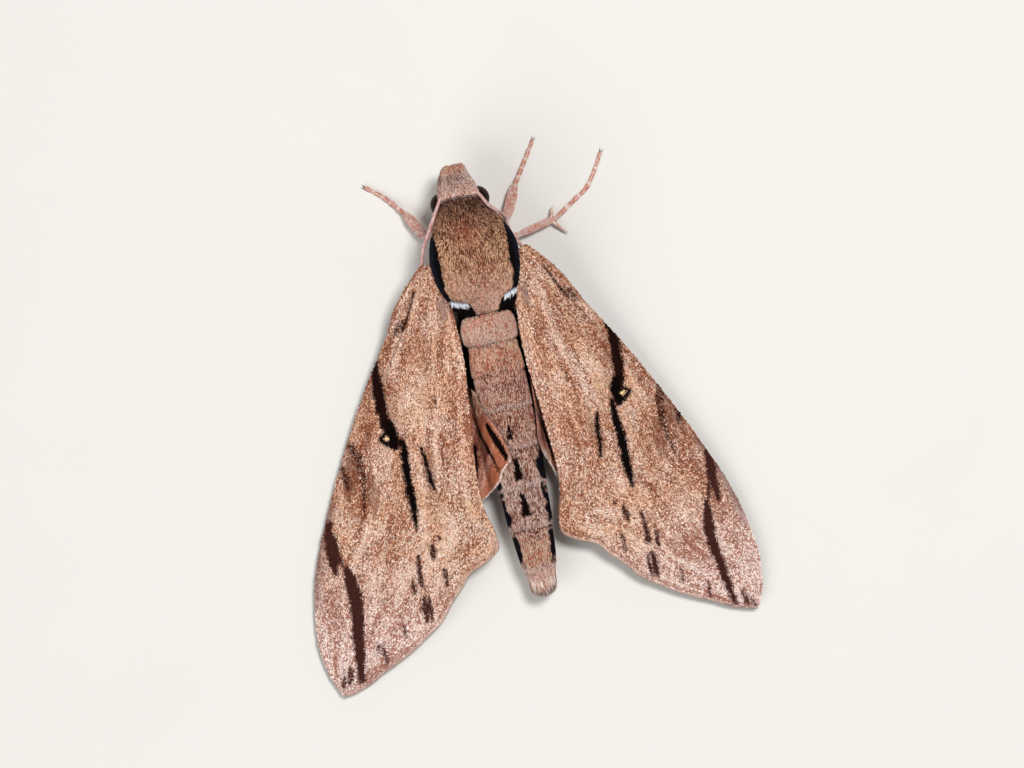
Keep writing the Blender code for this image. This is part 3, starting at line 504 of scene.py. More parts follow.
def bodyPaint(y, degrees, grain):
    x = bodyPoint(y, degrees)[:, 0] - bodySize(y)[3]
    above = np.sin(np.radians(degrees))
    seed = body["seed"]
    blot = layered(x / 1.1 + 40, y / 1.3 + 80, seed)
    fine = noise(x / 0.35 + 11, y / 0.5 + 23, seed + 1)
    tone = 0.7 * grain + 0.3 * fine + 0.28 * (blot - 0.5)
    # abdomen, row by row
    wavy = y + 0.5 * (noise(x / 0.9 + 7, y / 3 + 9, seed + 2) - 0.5)
    share = segmentShare(wavy)
    mottle = 3 * (layered(x / 2.2 + 5, y / 1.6 + 9, seed + 3) - 0.5)
    steep = np.abs(np.abs(degrees % 360 - 180) - 90) + 22 * (noise(y / 0.8 + 3, x / 3 + 5, seed + 4) - 0.5)
    flank = ramp(steep, 46, 56) * ramp(above, -0.5, 0)
    ragShare = share + 0.5 * (noise(y / 0.5 + 9, x / 0.4 + 2, seed + 6) - 0.5)
    patchy = ramp(ragShare, -0.1, 0.15) * (1 - ramp(ragShare, 0.85, 1.1))
    layers = [("edge", 0.45 * ramp(share, 0.78, 0.95) * ramp(-y, 16, 21) * (0.4 + 0.6 * grain)),
              ("dashAndShade", 0.4 * bump(share, 0, 0.05) * ramp(-y, 12, 14) * (1.3 - grain)),
              ("dashAndShade", 0.7 * bump(wavy, body["segmentEnds"][1] - 0.1, 0.2)),
              ("side", flank * patchy * ramp(-y, 25, 28) * (1 - ramp(-y, 42, 43)))]
    for station, halfLength, halfWidth in abdomenTone["dashes"]:
        wide = halfWidth * (1 - 0.35 * (y - station) / halfLength)
        beside = 1 - ramp(np.abs(x + 0.2) + 0.3 * (fine - 0.5), wide * 0.75, wide * 1.25)
        layers.append(("dashAndShade", beside * (1 - ramp(np.abs(y - station), halfLength * 0.8, halfLength))
                       * ramp(above, 0, 0.5)))
    layers.append(("belly", 0.6 * (1 - ramp(above, -0.6, -0.2))))
    rows = rowColours(abdomenTone["rows"], y + mottle * ramp(-y, 12.4, 13.5))
    colour = washed(speckle(*rows, tone), abdomenTone, layers)
    # thorax and collar
    rust = bump(x, -0.5, 1.8) * bump(y, 2.6, 1.6) + 0.6 * bump(x, 0.4, 1.1) * bump(y, -1.2, 2.4)
    edge = curve(dorsum["edge"], y)
    outside = ramp(np.abs(x) + 0.4 * (fine - 0.5) + 0.5 * (blot - 0.5), edge - 0.1, edge + 0.12)
    band = outside * ramp(-y + 0.3 * (fine - 0.5), -dorsum["bandFront"] - 0.3, -dorsum["bandFront"] + 0.3)
    low = 1 - ramp(above, -0.62, -0.35)
    golden = washed(speckle(*rowColours(dorsum["rows"], y), tone), dorsum, [
        ("rust", 0.95 * rust * (0.5 + 0.8 * (1 - grain))),
        ("goldEdge", 0.5 * bump(np.abs(x), edge - 0.3, 0.3) * ramp(-y, 2, 4) * ramp(grain, 0.35, 0.6)),
        ("black", band * (1 - low)),
        # painted sheen: a blue-grey gleam on the upper part of the black side bands
        ("blueSheen", 0.35 * band * bump(above, 0.25, 0.2) * grain)])
    golden = mixed(golden, abdomenTone["belly"], 0.8 * low)
    colour = mixed(colour, golden, ramp(y, -8.55, -8.35))
    # painted shadow: a dark line where the rear of the thorax meets the abdomen
    joint = bump(y + 0.3 * (fine - 0.5), -8.5, 0.22)
    colour = mixed(colour, abdomenTone["dashAndShade"], joint * ramp(above, -0.2, 0.3))
    # head
    rough = y + 1.2 * (blot - 0.5) + 0.5 * (fine - 0.5)
    face = washed(speckle(headTone["shade"], headTone["light"], tone + 0.17), headTone, [
        ("mauve", 0.4 * bump(rough, 8, 0.5) * bump(x, -0.2, 1.4) * ramp(grain, 0.3, 0.7)),
        ("dark", 0.8 * bump(rough, 9.1, 0.9) * (1 - ramp(grain, 0.35, 0.75)))])
    face = mixed(face, speckle(headTone["front"], headTone["frontLight"], tone), ramp(rough, 9.4, 10.3))
    # a pale stripe of the moth's own along the upper side of the head; on the left only its rear end is kept, as
    # painted shade on that side
    rim = bump(above, 0.3, 0.3) * np.where(x > 0, ramp(y, 7, 7.6) * (1 - ramp(y, 10.3, 10.8)), bump(y, 7.1, 0.6))
    face = mixed(face, headTone["rim"], rim * ramp(grain, 0.2, 0.5))
    crease = creaseAt(degrees)
    colour = mixed(colour, face, ramp(y - crease, -0.1, 0.1))
    shade = bump(y + 0.25 * (fine - 0.5), crease - 0.05, 0.22) * (0.4 + 0.6 * ramp(-x, -0.5, 1.5))
    return mixed(colour, headTone["dark"], 0.6 * shade * ramp(above, 0, 0.5))


def closeRings(sheet, frontTaper, backTaper):  # tube points with rounded ends added
    rings = list(sheet["points"][:, :-1])
    steps = ((0.93, 0.3), (0.75, 0.6), (0.45, 0.9))  # a ring's size and how far out it lies
    ends = []
    for ring, out in ((rings[0], frontTaper), (rings[-1], -backTaper)):
        centre = ring.mean(axis=0)
        added = [centre + (ring - centre) * size + np.array([0, out * far, 0]) for size, far in steps]
        rings = added[::-1] + rings if out > 0 else rings + added
        ends.append(centre + np.array([0, out, 0]))
    return np.concatenate(rings + [np.array(ends)]), len(rings)


coat = {  # hair on each region of the skin, between two stations
    "thorax_coat": {"front": 6.9, "back": -8.3, "count": 33000, "slot": "thorax_hair",
                    "size": (0.62, 0.12, 0.05, 0.16)},  # length, width, thickness, rise of the tips
    "head_coat": {"front": 99, "back": 6.9, "count": 7500, "slot": "head_hair", "size": (0.62, 0.15, 0.06, 0.27)},
    "abdomen_coat": {"front": -8.3, "back": -99, "count": 33000, "slot": "abdomen_hair",
                     "size": (0.52, 0.13, 0.05, 0.13)},
}


def buildBody():
    draw = np.random.default_rng(body["seed"])
    sheet = bodySheet()
    points, rings = closeRings(sheet, 0.25, 0.9)
    y = points[:, 1]
    _, level, _, middle = bodySize(y)
    degrees = np.degrees(np.arctan2(points[:, 2] - level, points[:, 0] - middle)) % 360
    # painted shade: the skin takes the coat's colours at 0.6
    addMesh("body_skin", points, tubeFaces(rings, sheet["points"].shape[1] - 1),
            bodyPaint(y, degrees, 0.35 * np.ones(len(y))) * 0.6, coatSkin,
            ["head", "collar", "thorax"] + ["abdomen_%d" % k for k in range(1, 8)])
    above = np.sin(np.radians(sheet["params"][..., 1]))
    stations = sheet["params"][..., 0]
    for name, look in coat.items():
        count = look["count"]
        inside = (stations > look["back"]) & (stations <= look["front"])
        spots = scatter(sheet, count, draw, inside * (0.35 + 0.65 * ramp(above, -0.5, 0.1)))
        spots["grain"] = draw.random(count)
        y, degrees = spots["params"].T
        for sign in sides.values():  # no hair grows through the eyes
            centre = np.array([eye["coatAxis"] + sign * eye["centre"][0], *eye["centre"][1:]])
            spots["root"][np.linalg.norm(spots["root"] - centre, axis=1) < eye["radius"] + 0.1, 2] = -99
        onHead = y > creaseAt(degrees)  # on the head the hair points forward
        spots["lie"] = np.where(onHead[:, None], -spots["lie"], spots["lie"])
        inwards = 16 * np.sin(np.radians(2 * degrees)) * np.where(onHead, -1, 1)
        spots = turned(spots, draw.normal(0, 1, count) * np.where(onHead, 24, 12) + inwards)
        spots = chosen(spots, spots["root"][:, 2] > 0)
        y, degrees = spots["params"].T
        many = len(y)
        colour = lifted(bodyPaint(y, degrees, spots["grain"]), draw.uniform(0.42, 1.85, many))
        length, width, thick, rise = look["size"]
        length = (length - 0.1 * ramp(y, 9.5, 10.8)) * draw.uniform(0.75, 1.25, many)  # shorter on the snout
        # painted shade: roots darker than tips, down in the coat
        addLocks(name, spots, (length, width * draw.uniform(0.8, 1.2, many), thick,
                                             rise * draw.uniform(0.6, 1.7, many)),
                 colour, lifted(colour, 1.5), hairScale)
    print("body skin and coat made")


# Eyes
eye = {"axis": -0.435, "coatAxis": -0.44, "centre": (2.42, 6.55, 7.75), "radius": 1.62, "flatten": 0.96}


def buildEyes():
    finish = eyeMaterial()
    for side, sign in sides.items():
        mesh = bpy.data.meshes.new("eye_ball_" + side)
        work = bmesh.new()
        bmesh.ops.create_icosphere(work, subdivisions=5, radius=eye["radius"] * mm)
        bmesh.ops.scale(work, vec=(eye["flatten"], 1, 1.02), verts=work.verts)
        centre = np.array([eye["axis"] + sign * eye["centre"][0], *eye["centre"][1:]]) + origin
        bmesh.ops.translate(work, verts=work.verts, vec=centre * mm)
        work.to_mesh(mesh)
        work.free()
        mesh.shade_smooth()
        addPiece("eye_ball_" + side, mesh, finish, ["eye_" + side])
    print("eyes made")


# Tubes: legs, palps, antennae and tongue

def tubeSheet(path, radii, around, flatten=1, across=None, floor=None):
    ahead = unit(np.gradient(path, axis=0))
    rings = []
    side = None
    turn = 2 * np.pi * (np.arange(around + 1) % around) / around
    for i, here in enumerate(path):
        if across is not None:
            side = np.asarray(across, float)
        elif side is None:
            side = np.cross(ahead[i], (0, 0, 1))
            if np.linalg.norm(side) < 0.1:
                side = np.cross(ahead[i], (0, 1, 0))
        side = unit(side - ahead[i] * (ahead[i] @ side))
        up = np.cross(side, ahead[i])
        rings.append(here + radii[i] * (np.cos(turn)[:, None] * side + flatten * np.sin(turn)[:, None] * up))
    points = np.array(rings)
    if floor is not None:
        points[:, :, 2] = np.maximum(points[:, :, 2], floor)
    share = np.linspace(0, 1, len(path))[:, None] + 0 * turn
    return makeSheet(points, np.stack([share, np.degrees(turn) + 0 * share], axis=-1), 1)


def addTube(name, sheet, paint, material, nodes=()):
    points = sheet["points"][:, :-1]
    rings, around = points.shape[:2]
    flat = np.concatenate([points.reshape(-1, 3), points[0].mean(axis=0)[None], points[-1].mean(axis=0)[None]])
    params = np.concatenate([sheet["params"][:, :-1].reshape(-1, 2), [[0, 0], [1, 0]]])
    addMesh(name, flat, tubeFaces(rings, around)[:, ::-1], paint(*params.T), material, nodes)


leg = {
    "seed": 17,
    "routes": {  # hip station and angle, knee, ankle, then the foot's route
        "fore_right": ((3.8, -60), (5.2, 3.3, 2), (7.1, 7.4, 1.15),
                       [(8.8, 10, 0.4), (9.7, 11.4, 0.27), (10.7, 13, 0.27)]),
        "fore_left": ((3.8, -60), (-5.9, 3, 2), (-7.9, 6.5, 1.15),
                      [(-9.7, 8.7, 0.4), (-11, 10, 0.27), (-12.6, 11.2, 0.27)]),
        "mid_right": ((0.4, -56), (6.3, 0.85, 2.4), (11.7, 2.1, 1.3),
                      [(14.6, 4, 0.45), (16.4, 5.2, 0.27), (17.7, 6.85, 0.27), (19.3, 9.6, 0.27)]),
        "mid_left": ((0.4, -56), (-6.3, -1.3, 2.5), (-9, -6.6, 1.2),
                     [(-10.6, -9.4, 0.45), (-12, -12, 0.27), (-13.6, -15.4, 0.27)]),
        "hind_right": ((-4.6, -58), (6.2, -9.3, 2.5), (8, -17.2, 1.2),
                       [(8.9, -20.6, 0.45), (9.7, -23.4, 0.27), (10.8, -27.4, 0.27)]),
        "hind_left": ((-4.6, -58), (-6.2, -9.3, 2.5), (-8, -17.2, 1.2),
                      [(-8.9, -20.6, 0.45), (-9.7, -23.4, 0.27), (-10.8, -27.4, 0.27)])},
    "radii": {"fore": (0.66, 0.72, 0.3), "mid": (0.62, 0.5, 0.3), "hind": (0.66, 0.54, 0.32)},
    "spurs": {"long": (1, 3), "short": (-1, 1.95)}, "spurRadius": 0.24,  # side and length
    "shank": {"red": "#D88E78", "pale": "#FCF0EA", "rings": [0.02, 0.98], "floor": None,
              "count": 2600, "size": (0.3, 0.11, 0.03, 0.07)},
    "foot": {"red": "#BE6C54", "pale": "#F0D0C2", "rings": [0.2, 0.4, 0.6, 0.8], "floor": 0,
             "count": 400, "size": (0.24, 0.08, 0.03, 0.04)},
    "spur": {"red": "#C79A86", "pale": "#F2E4DA", "rings": []}, "ring": "#F8EAE2",
    "claw": ("#6A3B2C", "#2A1712"),
}


def legPaint(look, share, degrees, grain):
    tone = 0.6 * grain + 0.4 * noise(share * 24, np.abs(degrees - 180) / 40, 31)
    colour = mixed(look["red"], look["pale"], ramp(tone, 0.42, 0.72))
    return washed(colour, leg, [("ring", 0.8 * bump(share, at, 0.02)) for at in look["rings"]])


def buildLegs():
    draw = np.random.default_rng(leg["seed"])
    for name, (hip, knee, ankle, foot) in leg["routes"].items():
        sign = -1 if name.endswith("left") else 1
        femurRadius, tibiaRadius, footRadius = leg["radii"][name.split("_")[0]]
        station = np.array(hip[0])
        middle = float(bodySize(station)[3])
        start, out = (bodyPoint(station, hip[1], grow) for grow in (-0.6, 1.3))
        for point in (start, out):
            point[0] = middle + sign * (point[0] - middle)
        knee, ankle, foot = np.array(knee), np.array(ankle), np.array(foot)
        parts = {  # route, thickness along it, radius and corners round it
            "femur": (through([start, out, out + (knee - out) * 0.55, knee], 40),
                      [0.8, 1.1, 1, 0.62], femurRadius * 0.92, 14),
            "tibia": (through([knee, (knee + ankle) / 2, ankle], 44),
                      [0.62, 0.98, 1, 0.98, 0.62], tibiaRadius * 0.92, 14),
            "tarsus": (through([ankle, *foot], 120), [1.1, 1, 1, 0.9, 0.75], footRadius, 12)}
        for part, (path, profile, radius, around) in parts.items():
            look = leg["foot" if part == "tarsus" else "shank"]
            share = np.linspace(0, 1, len(path))
            radii = radius * np.interp(share, np.linspace(0, 1, len(profile)), profile)
            if part == "tarsus":  # five joints, each a little wider at its far end
                joint = (share * 5) % 1
                radii = radii * (0.86 + 0.2 * joint ** 2 - 0.12 * bump(joint, 1, 0.06))
            sheet = tubeSheet(path, radii, around, floor=look["floor"])
            piece = "%s_%s" % (part, name)
            addTube(piece + "_cuticle", sheet,
                    lambda s, d: legPaint(look, s, d, hashed((s * 999).astype(int), d.astype(int), 3)),
                    satinCuticle, [piece])
            spots = scatter(sheet, look["count"], draw)
            keep = spots["root"][:, 2] > 0.18  # none between the foot and the floor
            spots = chosen(turned(spots, draw.normal(0, 12, look["count"])), keep)
            grain = draw.random(len(spots["root"]))
            colour = legPaint(look, *spots["params"].T, grain)
            length, width, thick, rise = look["size"]
            # painted shade: roots darker than tips
            addLocks(piece + "_scales", spots,
                     (length * draw.uniform(0.8, 1.2, len(grain)), width, thick, rise),
                     colour, lifted(colour, 1.25), hairScale)
        buildClaws(name, foot[-1], foot[-2])
        if not name.startswith("fore"):
            buildSpurs(name, knee, ankle)
    print("legs made")


def buildClaws(name, end, before):  # two hooked claws at the end of the foot
    ahead = unit(end - before)
    ahead[2] = 0
    across = np.cross(ahead, (0, 0, 1))
    for hand, place in ((-1, "inner"), (1, "outer")):
        path = through([end - ahead * 0.1, end + ahead * 0.28 + across * hand * 0.16,
                        end + ahead * 0.5 + across * hand * 0.24 - np.array([0, 0, 0.17])], 12)
        addTube("claw_%s_%s" % (name, place), tubeSheet(path, np.linspace(0.07, 0.015, 12), 8, floor=0),
                lambda s, d: mixed(*leg["claw"], s), satinCuticle)


def buildSpurs(name, knee, ankle):  # a long and a short spur near the end of the tibia
    ahead = unit(ankle - knee)
    out = unit(np.cross(ahead, (0, 0, 1)))
    root = ankle - ahead * 0.75
    radii = leg["spurRadius"] * np.interp(np.linspace(0, 1, 24), [0, 0.3, 0.8, 1], [0.8, 1, 0.7, 0.12])
    for kind, (hand, length) in leg["spurs"].items():
        heading = unit(ahead * 0.5 + out * hand * 0.85 + np.array([0, 0, -0.12]))
        path = through([root, root + heading * length * 0.5, root + heading * length], 24)
        addTube("spur_%s_%s" % (name, kind), tubeSheet(path, radii, 10),
                lambda s, d: legPaint(leg["spur"], s, d, hashed((s * 999).astype(int), d.astype(int), 8)),
                satinCuticle)


palp = {
    "path": [(0.92, 8.6, 3.7), (0.9, 9.8, 4.6), (0.86, 10.5, 6.1), (0.8, 10.5, 7.4), (0.74, 10.25, 8.4)],
    "radii": [0.45, 0.66, 0.74, 0.76, 0.62], "axis": -0.6, "shadow": "#84442F", "light": "#F4CCB6",
    "seed": 23, "count": 3200,
}


def palpPaint(share, degrees, grain):
    clump = noise(share * 9 + 3, np.abs(degrees - 180) / 22, 24)
    return mixed(palp["shadow"], palp["light"], ramp(0.5 * grain + 0.5 * clump, 0.35, 0.65))


def buildPalps():
    draw = np.random.default_rng(palp["seed"])
    count = palp["count"]
    for side, sign in sides.items():
        path = through([(palp["axis"] + sign * x, y, z) for x, y, z in palp["path"]], 50)
        radii = 0.86 * np.interp(np.linspace(0, 1, 50), np.linspace(0, 1, 5), palp["radii"])
        sheet = tubeSheet(path, radii, 20, flatten=1.15, across=(1, 0, 0))
        # painted shade: the palp's core takes its hair's colours at 0.8
        addTube("palp_core_" + side, sheet, lambda s, d: 0.8 * palpPaint(s, d, 0.4), coatSkin,
                ["palp_" + side])
        spots = turned(scatter(sheet, count, draw), draw.normal(0, 12, count))
        colour = palpPaint(*spots["params"].T, draw.random(count))
        # painted shade: roots darker than tips
        addLocks("palp_coat_" + side, spots, (0.5 * draw.uniform(0.7, 1.3, count), 0.11, 0.05, 0.16),
                 colour, lifted(colour, 1.3), hairScale)
    print("palps made")


tongue = {"centre": (-0.58, 8.1, 2.7), "turns": 1.8, "radius": 1.05, "thickness": 0.26, "rings": 50,
          "colours": ("#5A3020", "#8A5A3C")}


def buildTongue():  # the coiled tongue under the head, ringed along its length
    share = np.linspace(0, 1, 150)
    turn = 2 * np.pi * tongue["turns"] * share
    reach = tongue["radius"] * (1 - 0.74 * share)
    x, y, z = tongue["centre"]
    path = np.column_stack([x + 0 * share, y - reach * np.sin(turn), z + reach * np.cos(turn)])
    radii = tongue["thickness"] * (1 - 0.5 * share) * (1 + 0.06 * np.cos(share * 2 * np.pi * tongue["rings"]))
    addTube("tongue_coil", tubeSheet(path, radii, 12),
            lambda s, d: mixed(*tongue["colours"], noise(s * 30, d / 60, 5)), satinCuticle, ["tongue"])
    print("tongue made")


antenna = {
    "radius": 0.25,
    "onBody": {  # station and angle round the body, as on the eye beside it
        "left": [(8.3, 38), (7.8, 38), (6.6, 36), (5, 24), (3.2, 16), (1.6, 6)],
        "right": [(8.3, 38), (7.8, 38), (6.6, 37), (5.2, 34), (4.3, 20), (3.6, -4), (2.8, -24),
                  (1.4, -33)]},
    "underWing": {
        "left": [(7.15, -0.8, 7.3), (7.9, -3.4, 6.6), (9.2, -6.6, 5.5), (10.4, -9.2, 4.5), (11, -10.6, 4.1),
                 (11.7, -11.3, 4.1)],
        "right": [(6.55, -1, 5.6), (7.7, -3.4, 5.7), (9.2, -6.6, 5.2), (10.4, -9.2, 4.5), (11, -10.6, 4.1),
                  (11.7, -11.3, 4.1)]},
    "profile": [0.8, 1, 1, 1, 1, 1.1, 0.95, 0.3],
    "ringStep": 0.3,  # real rings are 0.25 mm apart
    "pale": "#DDB9B2", "pink": "#B8837A", "shade": "#8A5B52",
}


def buildAntennae():
    share = np.linspace(0, 1, 260)
    for side, sign in sides.items():
        route = []
        for station, degrees in antenna["onBody"][side]:
            at = np.array(station)
            buried = 0.8 * float(ramp(at, 7, 8.2))
            point = bodyPoint(at, degrees, 0.25 + antenna["radius"] - buried)
            middle = float(bodySize(at)[3])
            route.append((middle + sign * (point[0] - middle), station, point[2]))
        path = through(route + [(sign * x, y, z) for x, y, z in antenna["underWing"][side]], 260)
        length = np.r_[0, np.cumsum(np.linalg.norm(np.diff(path, axis=0), axis=1))]
        ringed = (length / antenna["ringStep"]) % 1
        radii = antenna["radius"] * np.interp(share, np.linspace(0, 1, 8), antenna["profile"])
        addTube("antenna_shaft_" + side, tubeSheet(path, radii * (0.9 + 0.1 * ringed), 12),
                lambda s, d: washed(antenna["pink"], antenna, [
                    ("pale", 0.8 * ramp(noise(s * 90, d / 50, 9), 0.2, 0.7)),
                    ("shade", 0.5 * (1 - ramp(np.interp(s, share, ringed), 0, 0.35)))]),
                satinCuticle, ["antenna_" + side])
    print("antennae made")


# Forewings, in their own frame: s from hinge to apex, t across to the body, both drawn on the right
forewing = {
    "hinge": (6.3, 0), "sweep": {"right": 22, "left": 22.4}, "length": {"right": 58.45, "left": 59.4},
    "bow": {"right": 5.75, "left": 6.9},
    # the left wing's marks against the right one's: spot and bars moved in mm, bars wider, inner half paler
    "spotDrift": {"right": 0, "left": 0.45}, "barDrift": {"right": 0, "left": 0.95},
    "bolder": {"right": 0, "left": 0.35}, "paler": {"right": 0, "left": 0.3},
    "noiseSeed": {"right": 51, "left": 67}, "drawSeed": {"right": 101, "left": 202},
    "frontEdge": [(0, 0), (0.05, 0.24), (0.1, 0.4), (0.2, 0.53), (0.3, 0.7), (0.41, 0.84), (0.51, 0.93),
                  (0.62, 0.99), (0.72, 1), (0.82, 0.88), (0.92, 0.58), (0.97, 0.28), (1, 0)],
    "outerMargin": [(58.3, 1), (56.7, 3), (54.7, 4.7), (52.9, 6.4), (50.9, 8.1), (48.7, 9.6), (46.6, 11),
                    (44, 11.8), (41.6, 12.8), (39.2, 13.7), (37.5, 15.4), (35.6, 16.5)],
    "innerMargin": [(34.1, 16), (31, 13.8), (27.6, 12.2), (24, 11), (20.4, 9.9), (16.7, 8.8), (13.1, 7.7),
                    (10.2, 6.6), (5, 4.4), (0, 2.4)],
    "drawnLength": 58.9,
    "frontHeight": [(0, 8.9), (3, 7.7), (6, 6.3), (10, 4.7), (16, 3.1), (24, 2.2), (36, 1.75),
                    (48, 1.55), (60, 1.5)],
    "backHeight": [(0, 9.7), (6, 9.4), (12, 8.7), (20, 7.7), (28, 6.6), (35.3, 5.2), (42, 3.8),
                   (50, 2.4), (60, 1.5)],
    "veins": {
        "Sc": [(2.2, -0.3), (12, -2.5), (24, -4.1), (33, -5)],
        "R1": [(14, -1.7), (28, -3.5), (40, -5)],
        "R2": [(20, -2.3), (36, -3.9), (49, -4.3)],
        "R4": [(2.2, 0.5), (12, -1.4), (24, -2.6), (42, -2.9), (55, -1.6)],
        "M1": [(24, -2.6), (40, -0.6), (55.6, 2.9)],
        "M2": [(24.4, 0.4), (38, 3.1), (51.9, 6.3)],
        "M3": [(23.6, 3), (36, 6.3), (47.7, 9.3)],
        "CuA1": [(2.6, 1.4), (12, 2.6), (22.5, 4.6), (33, 8.6), (43.2, 11.3)],
        "CuA2": [(16.5, 3.4), (28, 8.6), (38.4, 13.1)],
        "1A": [(3.4, 2.4), (12, 5.2), (24, 9.2), (31, 12.4), (34.6, 15.2)]},
    "veinHeight": 0.15, "veinWidth": 0.3, "depth": 0.14, "thickness": 0.2,
    "rows": 250, "cols": 84, "flakes": 25500, "flakeLength": 0.33, "flakeWidth": 0.165, "split": 27,
}
wingTone = {
    "cream": "#F3DCCB", "tan": "#D8A88E", "rust": "#A25F41", "brown": "#743E28", "gold": "#E0AE82",
    "pinkCream": "#F0DAD3", "pinkRust": "#B47B6A", "costal": "#7E5C58", "black": "#0C0605", "dark": "#200C08",
    "bark": "#42201A", "fringe": "#E8CABC", "fringeShade": "#9A6450", "umber": "#6A3220", "amber": "#F4CF9A",
    "under": "#8F6453",
}
wingMarks = [  # points with half widths, then strength and colour
    ([(14, -4.6, 0.4), (17, -2.9, 1.1), (20, -1.5, 1.2), (22.5, 0, 1), (24.5, 1.2, 0.7)], 0.4, "brown"),
    ([(8, -0.9, 0.25), (10, -1.5, 0.15)], 0.55, "dark"),
    ([(8.4, -1.5, 0.35), (10.4, -2.1, 0.4)], 0.55, "bark"),
    ([(4.4, -0.75, 0.1), (6.6, -0.9, 0.13), (9.7, -1.2, 0.08)], 0.85, "dark"),
    ([(9.7, -1.2, 0.06), (16, -2.5, 0.05)], 0.4, "bark"),
    ([(14.6, -4.1, 0.35), (16.5, -3.6, 0.62), (19, -2.7, 0.72), (21, -1.7, 0.68), (22.6, -0.7, 0.72),
      (23.8, 0.3, 0.62), (24.9, 0.9, 0.35)], 1, "dark"),
    ([(22.2, -0.5, 0.5), (23.4, 0.4, 0.62), (24.4, 0.9, 0.5)], 1, "black"),
    ([(23, 0.1, 0.3), (23.6, -0.6, 0.3), (24.5, -1.15, 0.28), (24.9, -0.3, 0.34), (25, 0.9, 0.42),
      (24, 0.6, 0.4), (23, 0.1, 0.3)], 1, "black"),
    ([(24.2, 1.5, 0.2), (24.9, 1.75, 0.42), (26, 2.1, 0.52), (28.5, 2.9, 0.55), (31, 3.85, 0.58),
      (33.5, 4.8, 0.46), (35.4, 5.5, 0.15)], 1, "black"),
    ([(24.5, 4, 0.18), (26.5, 5.2, 0.3), (28.4, 6, 0.26), (29.6, 6.8, 0.15)], 1, "black"),
    ([(17.5, 4.5, 0.12), (18.8, 4.9, 0.1)], 0.6, "dark"),
    ([(25.6, -5.6, 0.4), (27.3, -4.6, 0.8), (29.7, -4.4, 1.1), (31.6, -4.4, 0.8), (33.2, -4.2, 0.3)], 0.75, "brown"),
    ([(26.2, -5, 0.5), (27.3, -4.2, 0.6), (29.7, -2.9, 0.45), (32.5, -2.2, 0.3), (35, -1.7, 0.1)], 0.5, "dark"),
    ([(29, -6, 0.3), (31.8, -4.4, 0.5)], 0.55, "dark"),
    ([(29.8, -2, 0.5), (32, -1.2, 0.9), (34.2, -0.5, 0.4)], 0.65, "brown"),
    ([(25.6, 5.1, 0.7), (27.6, 5.8, 0.9), (29.4, 6.4, 0.4)], 0.45, "brown"),
    ([(23.8, 1.4, 0.5), (25, 1.5, 0.5)], 0.6, "brown"),
    ([(37, -5.4, 0.35), (38.5, -4.9, 0.6), (40.4, -4.1, 0.62), (42, -3.6, 0.5), (43.3, -3.1, 0.2)], 1, "bark"),
    ([(40.2, -3.6, 0.15), (42.6, -2, 0.2)], 0.8, "bark"),
    ([(42.5, -1.7, 0.3), (44, -0.9, 0.65), (46.3, 0.3, 0.7), (49, 1, 0.6), (51.8, 1.7, 0.5), (54.6, 2.3, 0.42),
      (56.6, 2.85, 0.35)], 1, "bark"),
    ([(55.3, 1, 0.3), (57.6, 1.4, 0.26)], 0.7, "bark"),
    ([(56.7, 0.4, 0.22), (58.2, 0.6, 0.2)], 0.65, "bark"),
    ([(35.8, 8.6, 0.3), (36.1, 8.8, 0.3)], 0.65, "bark"),
    ([(36.8, 8, 0.3), (38.9, 8.6, 0.33)], 0.8, "bark"),
    ([(39.9, 10.2, 0.35), (42, 11, 0.3)], 0.7, "bark"),
    ([(39, 6.5, 0.2), (41, 7.1, 0.3), (42.7, 7.7, 0.35)], 0.8, "bark"),
    ([(42, 6.2, 0.22), (43.9, 6.9, 0.3)], 0.8, "bark"),
    ([(44.2, 8.2, 0.35), (47.2, 9.3, 0.45)], 0.85, "bark"),
    ([(44.2, 8.9, 0.3), (46.8, 9.9, 0.32)], 0.75, "bark"),
    ([(51.5, 4.1, 0.16), (54, 5.2, 0.22)], 0.65, "bark"),
    ([(44.3, 5, 0.2), (44.6, 5.2, 0.2)], 0.5, "brown"),
    ([(45.5, 3.7, 0.2), (45.8, 3.9, 0.2)], 0.5, "brown"),
    ([(45.8, 2, 0.18), (46.1, 2.2, 0.18)], 0.5, "brown"),
    ([(48.2, 6.2, 0.18), (49.9, 7, 0.2)], 0.55, "bark"),
]


def wingAxes(side):
    turn = math.radians(forewing["sweep"][side])
    return (math.sin(turn), -math.cos(turn)), (-math.cos(turn), -math.sin(turn))


def wingToBody(side, s, t):
    along, across = wingAxes(side)
    return (forewing["hinge"][0] + s * along[0] + t * across[0], forewing["hinge"][1] + s * along[1] + t * across[1])


def bodyToWing(side, x, y):
    along, across = wingAxes(side)
    dx = x - forewing["hinge"][0]
    dy = y - forewing["hinge"][1]
    return dx * along[0] + dy * along[1], dx * across[0] + dy * across[1]


def frontEdge(side, s):
    return -forewing["bow"][side] * curve(forewing["frontEdge"], s / forewing["length"][side])


def backEdge(side, s):
    stretch = forewing["length"][side] / forewing["drawnLength"]
    line = [(forewing["length"][side], 0)]
    line += [(a * stretch, b) for a, b in forewing["outerMargin"] + forewing["innerMargin"][:-2]]
    return curve(line + forewing["innerMargin"][-2:], s)


def wingHeight(side, s, t):
    s = np.clip(s, 0, forewing["length"][side] - 0.4)
    front = frontEdge(side, s)
    u = np.clip((t - front) / (backEdge(side, s) - front), -0.1, 1.15)
    low = curve(forewing["frontHeight"], s)
    return low + (curve(forewing["backHeight"], s) - low) * np.sin(np.pi / 2 * u)


def thoraxEdge(y):
    return bodySize(y)[0] + 0.42


